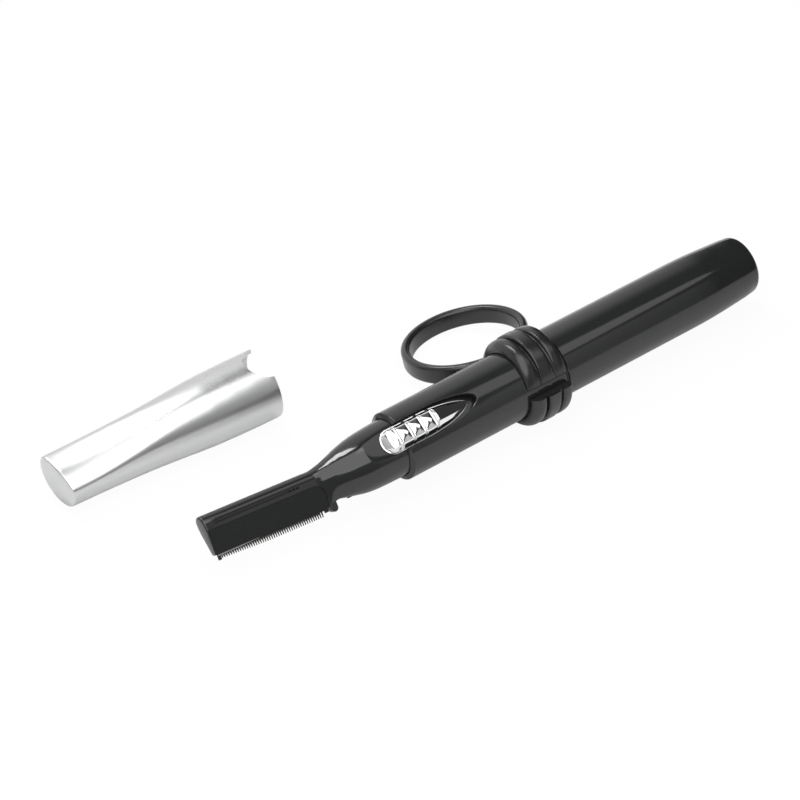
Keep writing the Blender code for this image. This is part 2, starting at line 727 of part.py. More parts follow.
def cutter_outline():
    """The cutter: shorter teeth, one fewer at each end, and no lugs."""
    start = COMB_START + TOOTH_PITCH
    count = COMB_TOOTH_COUNT - 2
    end = start + count * TOOTH_PITCH
    outline = [(start, -CUTTER_TOP), (start, -COMB_BODY_DEPTH)]
    outline += toothed_outline(start, count, COMB_BODY_DEPTH, TOOTH_LENGTH - CUTTER_SHORTER)
    outline += [(end, -COMB_BODY_DEPTH), (end, -CUTTER_TOP)]
    return outline


def make_blade(frames, finishes):
    """Cover plate, fixed comb, moving cutter, its leaf spring and the comb's latch."""
    piece("blade_cover", cover_shape(COVER_THICKNESS, 0), finishes["matt"], frames["cover"])
    comb = slab(comb_outline(), -COMB_FRONT, -COMB_FRONT + COMB_THICKNESS)
    piece("comb", comb, finishes["steel"], frames["head"])
    cutter = slab(cutter_outline(), CUTTER_FRONT, CUTTER_BACK)
    piece("cutter", cutter, finishes["steel"], frames["head"])
    leaf_start = COMB_START + 2 * TOOTH_PITCH
    leaf_end = COMB_START + (COMB_TOOTH_COUNT - 4) * TOOTH_PITCH
    leaf = block(
        (leaf_start, CUTTER_BACK + SEAM_GAP, -SPRING_LEAF_DEPTH - SPRING_LEAF_HEIGHT),
        (leaf_end, CUTTER_BACK + SEAM_GAP + SPRING_LEAF, -SPRING_LEAF_DEPTH),
    )
    piece("cutter_spring", leaf, finishes["spring"], frames["head"])
    start = LATCH_START
    end = start + LATCH_LENGTH
    radius = LATCH_LENGTH / 2
    outline = [(start, -LATCH_DEPTH + LATCH_HEIGHT), (start, -LATCH_DEPTH)]
    outline += list(arc((start + radius, -LATCH_DEPTH), radius, 180, 360, 8))[1:-1]
    outline += [(end, -LATCH_DEPTH), (end, -LATCH_DEPTH + LATCH_HEIGHT)]
    piece("comb_latch", slab(outline, -LATCH_HALF_WIDTH, LATCH_HALF_WIDTH), finishes["gloss"], frames["head"])


def yoke_station():
    """Where the lever's tip meets the rod, along the canted head."""
    return HEAD_CANT_PIVOT + (PIVOT - HEAD_CANT_PIVOT) / math.cos(HEAD_CANT) - ROD_DEPTH * math.tan(HEAD_CANT)


def lever_arm():
    """Distance from the pivot down to the middle of the lever's tip."""
    return (PIVOT - HEAD_CANT_PIVOT) * math.tan(HEAD_CANT) + LEVER_TIP_DEPTH / math.cos(HEAD_CANT)


def make_drive(frames, finishes):
    """Rod, bell-crank lever on its pin, and the eccentric that swings it."""
    middle = yoke_station()
    shaft = block(
        (ROD_START, -ROD_FRONT, -ROD_DEPTH - ROD_HALF_HEIGHT),
        (middle - YOKE_HALF_LENGTH + FIT_GAP, ROD_BACK, -ROD_DEPTH + ROD_HALF_HEIGHT),
    )
    drive_rod = piece("drive_rod", shaft, finishes["white"], frames["head"])
    yoke = block(
        (middle - YOKE_HALF_LENGTH, -YOKE_HALF_WIDTH, -YOKE_BOTTOM),
        (middle + YOKE_HALF_LENGTH, YOKE_HALF_WIDTH, -YOKE_TOP),
    )
    combine(drive_rod, tool("rod_yoke", yoke, frames["head"]), "UNION")
    notch = block(
        (middle - LEVER_TIP_RADIUS - RUN_GAP, -YOKE_HALF_WIDTH - OVERRUN, -YOKE_FLOOR),
        (middle + LEVER_TIP_RADIUS + RUN_GAP, YOKE_HALF_WIDTH + OVERRUN, OVERRUN),
    )
    combine(drive_rod, tool("yoke_notch", notch, frames["head"]))
    groove = block(
        (0, CUTTER_FRONT - SEAM_GAP, -ROD_DEPTH - ROD_HALF_HEIGHT - OVERRUN),
        (COVER_END, CUTTER_BACK + SEAM_GAP, -CUTTER_TOP + SEAM_GAP),
    )
    combine(drive_rod, tool("rod_groove", groove, frames["head"]))

    arm = lever_arm()
    waist = LEVER_HUB_RADIUS - LEVER_TIP_RADIUS
    slot = FORK_SLOT
    outer = slot + FORK_PRONG
    outline = list(arc((0, -arm), LEVER_TIP_RADIUS, 180, 360, 6))
    outline.append((LEVER_TIP_RADIUS, -LEVER_HUB_RADIUS))
    outline.append((waist, -FORK_ARM_HALF_WIDTH))
    outline.append((FORK_ROOT, -FORK_ARM_HALF_WIDTH))
    outline += [(FORK_ROOT, -outer), (FORK_LENGTH, -outer), (FORK_LENGTH, -slot)]
    outline += [(FORK_ROOT + FORK_BRIDGE, -slot), (FORK_ROOT + FORK_BRIDGE, slot)]
    outline += [(FORK_LENGTH, slot), (FORK_LENGTH, outer), (FORK_ROOT, outer)]
    outline.append((FORK_ROOT, FORK_ARM_HALF_WIDTH))
    outline += arc((0, 0), LEVER_HUB_RADIUS, HUB_ARC_START, HUB_ARC_END, 10)
    outline.append((-LEVER_TIP_RADIUS, -LEVER_HUB_RADIUS))
    lever = slab(outline, -LEVER_HALF_THICKNESS, LEVER_HALF_THICKNESS)
    lever = piece("lever", lever, finishes["white"], frames["pivot"])
    bore = rod(-LEVER_HALF_THICKNESS - OVERRUN, LEVER_HALF_THICKNESS + OVERRUN, PIN_RADIUS + SEAM_GAP * 2)
    combine(lever, tool("lever_bore", bore, frames["pin"]))

    head_start = -LEVER_HALF_THICKNESS - FIT_GAP - PIN_HEAD_HEIGHT
    head_end = head_start + PIN_HEAD_HEIGHT
    pin_end = PIN_BOSS_START + PIN_DEPTH
    pin = turned(
        ((head_start, 0), (head_start, PIN_HEAD_RADIUS), (head_end, PIN_HEAD_RADIUS),
         (head_end, PIN_RADIUS), (pin_end, PIN_RADIUS), (pin_end, 0)),
        steps=SMALL_STEPS,
    )
    piece("lever_pin", pin, finishes["steel"], frames["pin"])

    disc = rod(ECCENTRIC_FRONT, ECCENTRIC_REAR, ECCENTRIC_RADIUS, ROUND_STEPS // 2)
    eccentric = piece("eccentric", disc, finishes["brass"], frames["pen"])
    crank = rod(ECCENTRIC_FRONT - CRANK_PIN_LENGTH, ECCENTRIC_FRONT + ECCENTRIC_LENGTH / 4, CRANK_PIN_RADIUS)
    bmesh.ops.translate(crank, verts=crank.verts, vec=(0, ECCENTRICITY, 0))
    combine(eccentric, tool("crank_pin", crank, frames["neck"]), "UNION")
    socket = rod(ECCENTRIC_REAR - SHAFT_GRIP - FIT_GAP, ECCENTRIC_REAR + OVERRUN, SHAFT_RADIUS + SEAM_GAP)
    combine(eccentric, tool("shaft_socket", socket, frames["pen"]))


def make_motor(frames, finishes):
    """Can, shaft, three-pole armature, two magnets, end cap and the two tabs."""
    pen = frames["pen"]
    inner = MOTOR_RADIUS - MOTOR_WALL
    hole = SHAFT_RADIUS + FIT_GAP
    boss = MOTOR_FRONT - MOTOR_BOSS_HEIGHT
    can = turned(
        (
            (boss, hole), (boss, MOTOR_BOSS_RADIUS), (MOTOR_FRONT, MOTOR_BOSS_RADIUS),
            (MOTOR_FRONT, MOTOR_RADIUS), (MOTOR_REAR, MOTOR_RADIUS), (MOTOR_REAR, inner),
            (MOTOR_FRONT + MOTOR_WALL, inner), (MOTOR_FRONT + MOTOR_WALL, hole),
        ),
        closed=True,
    )
    piece("motor_can", can, finishes["steel"], pen)
    shaft_end = MOTOR_REAR - END_CAP_PLUG - FIT_GAP
    piece("motor_shaft", rod(ECCENTRIC_REAR - SHAFT_GRIP, shaft_end, SHAFT_RADIUS), finishes["steel"], pen)

    poles = []
    count = ARMATURE_POLES * 8
    for index in range(count):
        angle = math.tau * index / count
        lobe = index % 8
        radius = ARMATURE_WAIST if lobe in (0, 7) else ARMATURE_RADIUS
        poles.append((math.cos(angle) * radius, math.sin(angle) * radius))
    start = MOTOR_FRONT + ARMATURE_SETBACK
    rings = [[(station, y, z) for y, z in poles] for station in (start, start + ARMATURE_LENGTH)]
    armature = piece("armature", lofted(rings), finishes["steel"], pen)
    axle_hole = rod(MOTOR_FRONT, MOTOR_REAR, SHAFT_RADIUS + SEAM_GAP)
    combine(armature, tool("armature_hole", axle_hole, pen))

    outer = inner - FIT_GAP
    for name, middle in (("magnet_upper", 90), ("magnet_lower", 270)):
        half = math.degrees(MAGNET_ARC) / 2
        far = list(arc((0, 0), outer, middle - half, middle + half, 10))
        near = list(arc((0, 0), outer - MAGNET_THICKNESS, middle + half, middle - half, 10))
        rings = [[(station, y, z) for y, z in far + near] for station in (start, start + ARMATURE_LENGTH)]
        piece(name, lofted(rings), finishes["magnet"], pen)

    plug = MOTOR_REAR - END_CAP_PLUG
    flange = MOTOR_REAR + SEAM_GAP
    cap = turned(
        ((plug, 0), (plug, inner - FIT_GAP), (flange, inner - FIT_GAP),
         (flange, MOTOR_RADIUS), (END_CAP_REAR, MOTOR_RADIUS), (END_CAP_REAR, 0)),
    )
    piece("motor_end_cap", cap, finishes["white"], pen)
    for name, side in (("motor_tab_positive", 1), ("motor_tab_negative", -1)):
        low = side * (MOTOR_RADIUS - TAB_INSET) - METAL_STRIP / 2
        tab = block(
            (END_CAP_REAR + SEAM_GAP, -TAB_HALF_WIDTH, low),
            (END_CAP_REAR + TAB_LENGTH, TAB_HALF_WIDTH, low + METAL_STRIP),
        )
        piece(name, tab, finishes["brass"], frames["switch"])


def make_chassis(frames, finishes):
    """Moulded cradle that holds the motor and the front contact in the barrel."""
    outer = BARREL_BORE - FIT_GAP
    inner = MOTOR_RADIUS + FIT_GAP
    rear = BORE_STEP - FIT_GAP
    start = SHELL_END + MOTOR_TO_SHELL + FIT_GAP
    trough = turned(
        (
            (start, inner), (start, outer), (rear, outer), (rear, CELL_RADIUS + RUN_GAP),
            (BULKHEAD_REAR, CELL_RADIUS + RUN_GAP), (BULKHEAD_REAR, BULKHEAD_HOLE),
            (BULKHEAD_FRONT, BULKHEAD_HOLE), (BULKHEAD_FRONT, inner),
        ),
        closed=True,
    )
    chassis = piece("chassis", trough, finishes["white"], frames["pen"])
    wide = STRIP_HALF_WIDTH + RUN_GAP
    opening = (
        (start - OVERRUN, STRIP_HEIGHT - RUN_GAP), (BULKHEAD_REAR - RUN_GAP, STRIP_HEIGHT - RUN_GAP),
        (BULKHEAD_REAR - RUN_GAP, BULKHEAD_HOLE / 2), (rear + OVERRUN, BULKHEAD_HOLE / 2),
        (rear + OVERRUN, BARREL_RADIUS), (start - OVERRUN, BARREL_RADIUS),
    )
    combine(chassis, tool("strip_opening", slab(opening, -wide, wide), frames["switch"]))
    low = -RETURN_HEIGHT + METAL_STRIP
    foot = -RETURN_HEIGHT + RETURN_FOOT
    channel = (
        (start - OVERRUN, -BARREL_RADIUS), (rear + OVERRUN, -BARREL_RADIUS), (rear + OVERRUN, low),
        (BULKHEAD_FRONT - SEAM_GAP, low), (BULKHEAD_FRONT - SEAM_GAP, foot), (END_CAP_REAR, foot),
        (END_CAP_REAR, low), (start - OVERRUN, low),
    )
    combine(chassis, tool("return_channel", slab(channel, -STRIP_CHANNEL, STRIP_CHANNEL), frames["switch"]))


def make_strips(frames, finishes):
    """Brass strips that carry current from the cell to the switch and back from the tail."""
    foot = SHELL_END + MOTOR_TO_SHELL / 2 + METAL_STRIP / 2
    path = (
        (foot - STRIP_FOOT_LENGTH, BOARD_SHELF + STRIP_FOOT_RISE), (foot, BOARD_SHELF + STRIP_FOOT_RISE),
        (foot, STRIP_HEIGHT), (CONTACT_FACE, STRIP_HEIGHT), (CONTACT_FACE, -CONTACT_REACH),
    )
    strip = slab(strip_path(path, METAL_STRIP), -STRIP_HALF_WIDTH, STRIP_HALF_WIDTH)
    piece("battery_strip", strip, finishes["brass"], frames["switch"])

    start = END_CAP_REAR + TAB_LENGTH + METAL_STRIP + SEAM_GAP
    path = (
        (start, -RETURN_HEIGHT + RETURN_FOOT), (start, -RETURN_HEIGHT),
        (SPIGOT_END + RETURN_REACH, -RETURN_HEIGHT),
    )
    strip = slab(strip_path(path, -METAL_STRIP), -STRIP_HALF_WIDTH, STRIP_HALF_WIDTH)
    piece("return_strip", strip, finishes["brass"], frames["switch"])


def button_sections():
    """Cross sections of the button from its nose to its tip, with ribs across its back."""
    outline = ogive(
        BUTTON_FRONT, BUTTON_TIP, BUTTON_HALF_WIDTH, BUTTON_NOSE, BUTTON_OGIVE, BUTTON_FULLNESS
    )
    half = [(station, side) for station, side in outline if side > 0]
    stations = [station for station, _ in half]
    ribs = [BUTTON_FRONT + RIB_FIRST + RIB_PITCH * index for index in range(RIB_COUNT)]
    ends = {stations[0] + (stations[1] - stations[0]) / 4, stations[-1]}
    places = set(stations) | ends
    for rib in ribs:
        places |= {rib - RIB_WIDTH, rib - RIB_WIDTH / 2, rib + RIB_WIDTH / 2, rib + RIB_WIDTH}
    base = FLOOR_HEIGHT + BUTTON_LIFT
    sections = []
    for station in sorted(places):
        width = outline_side(half, station)
        on_rib = any(abs(station - rib) < RIB_WIDTH * 0.75 for rib in ribs)
        fullness = (width / BUTTON_HALF_WIDTH) ** 0.5
        edge = base + BUTTON_EDGE
        crown = edge + BUTTON_CROWN * fullness + (RIB_HEIGHT if on_rib else 0)
        ring = [(station, -width, base), (station, -width, edge)]
        for index in range(1, 8):
            angle = math.pi * index / 8
            ring.append((station, -width * math.cos(angle), edge + (crown - edge) * math.sin(angle)))
        ring += [(station, width, edge), (station, width, base)]
        sections.append(ring)
    return sections


def outline_side(half, station):
    """Half width of a plan outline at a station."""
    places = [place for place, _ in half]
    index = min(max(bisect.bisect_right(places, station), 1), len(half) - 1)
    (place_a, side_a), (place_b, side_b) = half[index - 1], half[index]
    return between(side_a, side_b, (station - place_a) / (place_b - place_a))


def make_switch(frames, finishes):
    """Chromed button, its carrier and wiper, and the board with two contacts below."""
    frame = frames["switch"]
    piece("switch_button", lofted(button_sections()), finishes["chrome"], frame)
    ceiling = math.sqrt(MECHANISM_BORE ** 2 - CARRIER_HALF_WIDTH ** 2) - FIT_GAP / 2
    low = ceiling - CARRIER_THICKNESS
    start = STEM_START + STEM_LENGTH / 2 - CARRIER_LENGTH / 2
    plate = block((start, -CARRIER_HALF_WIDTH, low), (start + CARRIER_LENGTH, CARRIER_HALF_WIDTH, ceiling))
    carrier = piece("switch_carrier", plate, finishes["matt"], frame)
    stem = block(
        (STEM_START, -STEM_HALF_WIDTH, ceiling - CARRIER_THICKNESS / 2),
        (STEM_START + STEM_LENGTH, STEM_HALF_WIDTH, FLOOR_HEIGHT + BUTTON_LIFT - SEAM_GAP),
    )
    combine(carrier, tool("carrier_stem", stem, frame), "UNION")

    wiper_start = start + (CARRIER_LENGTH - WIPER_LENGTH) / 2
    wiper_end = wiper_start + WIPER_LENGTH
    top = low - SEAM_GAP - METAL_STRIP
    path = (
        (wiper_start, top - WIPER_BEND), (wiper_start + WIPER_FOOT, top),
        (wiper_end - WIPER_FOOT, top), (wiper_end, top - WIPER_BEND),
    )
    outline = strip_path(path, METAL_STRIP)
    piece("switch_wiper", slab(outline, -WIPER_HALF_WIDTH, WIPER_HALF_WIDTH), finishes["brass"], frame)

    shelf = BOARD_SHELF
    half_width = math.sqrt(MECHANISM_BORE ** 2 - shelf ** 2) - FIT_GAP
    board = block(
        (BOARD_START, -half_width, shelf - BOARD_THICKNESS), (BOARD_START + BOARD_LENGTH, half_width, shelf)
    )
    piece("switch_board", board, finishes["board"], frame)
    front_start = BOARD_START + RUN_GAP
    contact_low = shelf + SEAM_GAP
    contact_high = shelf + CONTACT_RISE + METAL_STRIP
    front = block(
        (front_start, -CONTACT_HALF_WIDTH, contact_low),
        (front_start + FRONT_CONTACT_LENGTH, CONTACT_HALF_WIDTH, contact_high),
    )
    piece("switch_contact_front", front, finishes["brass"], frame)
    rear = block(
        (wiper_end - SWITCH_TRAVEL - WIPER_FOOT, -CONTACT_HALF_WIDTH, contact_low),
        (BOARD_START + BOARD_LENGTH - RUN_GAP, CONTACT_HALF_WIDTH, contact_high),
    )
    piece("switch_contact_rear", rear, finishes["brass"], frame)


def make_front_barrel(frames, finishes):
    """Front tube with the switch pocket, and the spigot that the tail pushes onto."""
    spigot = BARREL_BORE - FIT_GAP
    inner = spigot - SPIGOT_WALL
    tube = turned(
        (
            (SHOULDER, BARREL_BORE), (SHOULDER, BARREL_RADIUS - SHOULDER_CHAMFER),
            (SHOULDER + SHOULDER_CHAMFER, BARREL_RADIUS), (SEAM, BARREL_RADIUS), (SEAM, spigot),
            (SPIGOT_END - SPIGOT_CHAMFER, spigot), (SPIGOT_END, spigot - SPIGOT_CHAMFER),
            (SPIGOT_END, inner), (BORE_STEP, inner), (BORE_STEP, BARREL_BORE),
        ),
        closed=True,
    )
    barrel = piece("front_barrel", tube, finishes["gloss"], frames["pen"])
    pocket = ogive(
        SHOULDER - POCKET_LENGTH / 2, POCKET_TIP, POCKET_HALF_WIDTH, POCKET_HALF_WIDTH, POCKET_OGIVE,
        POCKET_FULLNESS,
    )
    cutter = slab(pocket, FLOOR_HEIGHT - SHELL_WALL, BARREL_RADIUS + OVERRUN, "Z")
    combine(barrel, tool("switch_pocket", cutter, frames["switch"]))
    channel = block(
        (BORE_STEP - OVERRUN, -STRIP_CHANNEL, -BARREL_BORE + SEAM_GAP),
        (SPIGOT_END + OVERRUN, STRIP_CHANNEL, -RETURN_HEIGHT + METAL_STRIP),
    )
    combine(barrel, tool("spigot_channel", channel, frames["switch"]))


def make_tail(frames, finishes):
    """Rear tube that is the battery cover, with its seal, strip, plate and spring."""
    pen = frames["pen"]
    start, outer = SEAM + SEAM_GAP, BARREL_RADIUS - SEAL_INSET
    end = start + SEAL_WIDTH
    seal = turned(((start, BARREL_BORE), (start, outer), (end, outer), (end, BARREL_BORE)), closed=True)
    piece("seal_ring", seal, finishes["rubber"], pen)
    taper = LENGTH - TAIL_TAPER_LENGTH
    outer = [(TAIL_FRONT, BARREL_RADIUS)]
    for place, share in TAIL_SHARES:
        outer.append((taper + TAIL_TAPER_LENGTH * place, BARREL_RADIUS - TAIL_NARROWING * share))
    edge_start, edge_radius = outer[-1]
    for index in range(1, 5):
        angle = math.pi / 2 * index / 4
        station = between(edge_start, LENGTH, math.sin(angle))
        outer.append((station, between(TAIL_END_RADIUS, edge_radius, math.cos(angle))))
    inner = [(TAIL_FRONT, BARREL_BORE)]
    for place, share in TAIL_SHARES[:-1]:
        inner.append((taper + TAIL_TAPER_LENGTH * place, BARREL_BORE - TAIL_NARROWING * share))
    inner.append((TAIL_INNER, inner[-1][1] - TAIL_NARROWING / 4))
    profile = [(LENGTH, 0)] + outer[::-1] + inner + [(TAIL_INNER, 0)]
    piece("tail_cover", turned(profile), finishes["gloss"], pen)

    plate_front = TAIL_INNER - RUN_GAP - METAL_STRIP
    piece(
        "spring_plate",
        turned(((plate_front, 0), (plate_front, SPRING_PLATE_RADIUS),
                (plate_front + METAL_STRIP, SPRING_PLATE_RADIUS), (plate_front + METAL_STRIP, 0))),
        finishes["steel"], pen,
    )
    height = RETURN_HEIGHT + METAL_STRIP + TAIL_STRIP_GAP
    path = (
        (SPIGOT_END + RUN_GAP, -height), (taper, -height),
        (plate_front - FIT_GAP, -height + TAIL_STRIP_DROP),
    )
    strip = slab(strip_path(path, -METAL_STRIP / 2), -STRIP_HALF_WIDTH, STRIP_HALF_WIDTH)
    piece("tail_strip", strip, finishes["brass"], frames["switch"])
    make_spring(CELL_REAR + FIT_GAP + SPRING_WIRE, plate_front - FIT_GAP - SPRING_WIRE, finishes, pen)


def make_spring(start, end, finishes, parent):
    """Conical battery spring: one round wire wound about the pen's axis."""
    curve = bpy.data.curves.new("battery_spring", "CURVE")
    curve.dimensions = "3D"
    curve.bevel_depth = SPRING_WIRE
    curve.bevel_resolution = 1
    curve.use_fill_caps = True
    per_turn = 12
    count = SPRING_TURNS * per_turn
    spline = curve.splines.new("POLY")
    spline.points.add(count)
    for index in range(count + 1):
        share = index / count
        angle = math.tau * index / per_turn
        radius = between(SPRING_TIP_RADIUS, SPRING_RADIUS, share)
        point = (between(start, end, share), radius * math.cos(angle), radius * math.sin(angle), 1)
        spline.points[index].co = point
    curve.materials.append(finishes["spring"])
    spring = bpy.data.objects.new("battery_spring", curve)
    spring.parent = parent
    bpy.context.scene.collection.objects.link(spring)


def make_cell(frames, finishes):
    pen = frames["pen"]
    body = turned(
        (
            (CELL_FRONT, 0), (CELL_FRONT, CELL_RADIUS - CELL_CHAMFER),
            (CELL_FRONT + CELL_CHAMFER, CELL_RADIUS), (CELL_REAR - CELL_CHAMFER, CELL_RADIUS),
            (CELL_REAR, CELL_RADIUS - CELL_CHAMFER), (CELL_REAR, 0),
        ),
    )
    piece("battery_cell", body, finishes["cell"], pen)
    piece("battery_nub", rod(CELL_NUB, CELL_FRONT - SEAM_GAP, NUB_RADIUS), finishes["steel"], pen)


def clip_section(angle):
    """Closed clip section at an angle about the pen, thinner towards its upper end."""
    past = (angle - CLIP_GAP_END) / CLIP_TAPER
    share = between(CLIP_TAPER_SHARE, 1, math.sin(min(max(past, 0), 1) * math.pi / 2))
    ring = [(CLIP_FRONT, CLIP_BORE)]
    for place, height in CLIP_SHARES:
        ring.append((CLIP_FRONT + CLIP_LENGTH * place, CLIP_BORE + CLIP_THICKNESS * height * share))
    ring.append((CLIP_REAR, CLIP_BORE))
    return [(station, -radius * math.cos(angle), radius * math.sin(angle)) for station, radius in ring]


def make_clip(frames, finishes):
    """Open clip with ridges, in one moulding with its finger ring."""
    sweep = math.tau - CLIP_GAP_END + CLIP_GAP_START
    count = round(sweep / CLIP_STEP)
    rings = [clip_section(CLIP_GAP_END + sweep * index / count) for index in range(count + 1)]
    clip = piece("ring_clip", lofted(rings), finishes["satin"], frames["pen"])
    inner = RING_RADIUS - RING_WALL
    profile = (
        (inner, -RING_HALF_HEIGHT + RING_EDGE), (inner + RING_EDGE, -RING_HALF_HEIGHT),
        (RING_RADIUS - RING_EDGE, -RING_HALF_HEIGHT), (RING_RADIUS, -RING_HALF_HEIGHT + RING_EDGE),
        (RING_RADIUS, RING_HALF_HEIGHT - RING_EDGE), (RING_RADIUS - RING_EDGE, RING_HALF_HEIGHT),
        (inner + RING_EDGE, RING_HALF_HEIGHT), (inner, RING_HALF_HEIGHT - RING_EDGE),
    )
    ring = turned([(height, radius) for radius, height in profile], closed=True, steps=RING_STEPS)
    bmesh.ops.rotate(ring, verts=ring.verts, matrix=Matrix.Rotation(math.pi / 2, 3, "Y"))
    combine(clip, tool("finger_ring", ring, frames["ring"]), "UNION")


def cap_radius(share):
    return between(CAP_END_RADIUS, CAP_MOUTH_RADIUS, read_shares(CAP_SHARES, share))


def cap_section(station, inset):
    """Cap section with the side that faces up bowed flat, most of all at the closed end."""
    share = min(station / CAP_LENGTH, 1)
    radius = cap_radius(share) - inset
    fade = min(share / CAP_FLAT_LENGTH_SHARE, 1)
    fade = fade * fade * (3 - 2 * fade)
    apex = between(CAP_END_FLAT, cap_radius(share) + CAP_FLAT_FADE, fade) - inset
    ring = []
    for index in range(CAP_STEPS):
        angle = math.tau * index / CAP_STEPS
        centre = apex - CAP_FLAT_BOW
        turn = angle + CAP_FLAT_TURN
        flat = centre * math.cos(turn) + math.sqrt(CAP_FLAT_BOW ** 2 - (centre * math.sin(turn)) ** 2)
        lower, higher = sorted((radius, flat))
        reach = lower - CAP_CORNER * math.log1p(math.exp((lower - higher) / CAP_CORNER))
        side = reach * math.sin(angle)
        slant = max(CAP_END_RADIUS - side, 0) * math.tan(CAP_END_SLANT) * max(1 - 4 * share, 0)
        ring.append((station + slant, side, reach * math.cos(angle)))
    return ring


def make_cap(frames, finishes):
    """One moulded shell: its outside from the closed end to the mouth, then its inside back again."""
    places = [share * CAP_LENGTH for share, _ in CAP_SHARES]
    rings = [cap_section(0, CAP_EDGE), cap_section(CAP_EDGE, 0)]
    rings += [cap_section(place, 0) for place in places[1:]]
    rings += [cap_section(place, CAP_WALL) for place in places[:1:-1]]
    rings.append(cap_section(CAP_END_THICKNESS, CAP_WALL))
    cap = piece("cap", lofted(rings), finishes["silver"], frames["cap"])
    mouth = CAP_LENGTH
    outline = [(mouth + OVERRUN, NOTCH_HALF_WIDTH)]
    for index in range(13):
        angle = math.pi * index / 12
        outline.append((mouth - NOTCH_DEPTH * math.sin(angle), NOTCH_HALF_WIDTH * math.cos(angle)))
    outline.append((mouth + OVERRUN, -NOTCH_HALF_WIDTH))
    combine(cap, tool("cap_notch", slab(outline, 0, CAP_MOUTH_RADIUS + OVERRUN, "Z"), frames["cap"]))


def make_frames():
    """Empties that carry the pieces: the pen, its head, neck and switch sides, the ring and the cap."""
    pen = holder("pen_axis", location=(-LENGTH, 0, 0))
    neck = holder("neck_side", pen, rotation=(HEAD_TURN, 0, 0))
    canted = Matrix.Rotation(HEAD_CANT, 4, "Y")
    shift = Matrix.Translation((HEAD_CANT_PIVOT, 0, 0))
    head = holder("head_cant", neck)
    head.matrix_local = shift @ canted @ shift.inverted()
    slope = math.atan2(HEAD_HALF_THICKNESS - HEAD_HALF_FOOT, HEAD_DOWN + PLATE_TOP)
    cover = holder("cover_side", head, (0, -HEAD_HALF_THICKNESS, PLATE_TOP), (slope, 0, 0))
    pivot = holder("lever_pivot", neck, (PIVOT, 0, 0))
    pin = holder("pin_axis", pivot, rotation=(0, 0, math.pi / 2))
    boss = holder("pivot_boss_axis", pivot, (0, PIN_BOSS_START, 0), (0, 0, math.pi / 2))
    switch = holder("switch_side", pen, rotation=(SWITCH_TURN, 0, 0))
    reach = CLIP_RADIUS + RING_RADIUS - RING_SINK
    station = (CLIP_FRONT + CLIP_REAR) / 2 + RING_SHIFT
    ring_place = (station, reach * math.cos(RING_SIDE), -reach * math.sin(RING_SIDE))
    ring = holder("ring_centre", pen, ring_place, (-RING_DROOP, RING_LEAN, 0))
    tilt = math.asin((CAP_MOUTH_RADIUS - CAP_END_RADIUS) / CAP_LENGTH)
    height = CAP_MOUTH_RADIUS / math.cos(tilt) - CLIP_RADIUS
    mouth = Vector((SHOULDER - CAP_FROM_SHOULDER, CAP_BESIDE, height))
    along = Vector((math.cos(CAP_YAW) * math.cos(tilt), math.sin(CAP_YAW) * math.cos(tilt), math.sin(tilt)))
    cap = holder("cap_axis", pen, mouth - along * CAP_LENGTH, (CAP_ROLL, -tilt, CAP_YAW))
    return {
        "pen": pen, "neck": neck, "head": head, "cover": cover, "pivot": pivot, "pin": pin,
        "pivot_boss": boss, "switch": switch, "ring": ring, "cap": cap,
    }


def make_finishes():
    return {
        "gloss": finish("gloss_black_plastic", (0.012, 0.012, 0.013), 0.18),
        "satin": finish("satin_black_plastic", (0.014, 0.014, 0.015), 0.32),
        "matt": finish("matt_black_plastic", (0.016, 0.018, 0.018), 0.6),
        "silver": finish("satin_silver_paint", (0.72, 0.73, 0.74), 0.34, 0.85),
        "chrome": finish("chrome_plating", (0.80, 0.80, 0.81), 0.08, 1.0),
        "steel": finish("ground_steel", (0.50, 0.50, 0.51), 0.30, 1.0),
        "spring": finish("spring_steel", (0.56, 0.56, 0.57), 0.25, 1.0),
        "brass": finish("brass_strip", (0.72, 0.52, 0.22), 0.30, 1.0),
        "white": finish("white_acetal", (0.78, 0.78, 0.75), 0.45),
        "magnet": finish("sintered_magnet", (0.10, 0.10, 0.11), 0.55),
        "board": finish("switch_board_resin", (0.30, 0.20, 0.10), 0.5),
        "cell": finish("cell_jacket", (0.12, 0.16, 0.20), 0.35),
        "rubber": finish("black_rubber", (0.01, 0.01, 0.01), 0.7),
    }


def make_trimmer():
    clear_scene()
    frames = make_frames()
    finishes = make_finishes()
    make_head(frames, finishes)
    make_blade(frames, finishes)
    make_drive(frames, finishes)
    make_motor(frames, finishes)
    make_chassis(frames, finishes)
    make_strips(frames, finishes)
    make_switch(frames, finishes)
    make_front_barrel(frames, finishes)
    make_tail(frames, finishes)
    make_cell(frames, finishes)
    make_clip(frames, finishes)
    make_cap(frames, finishes)


make_trimmer()
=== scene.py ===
import json
import math

import bmesh
import bpy
from mathutils import Matrix, Vector


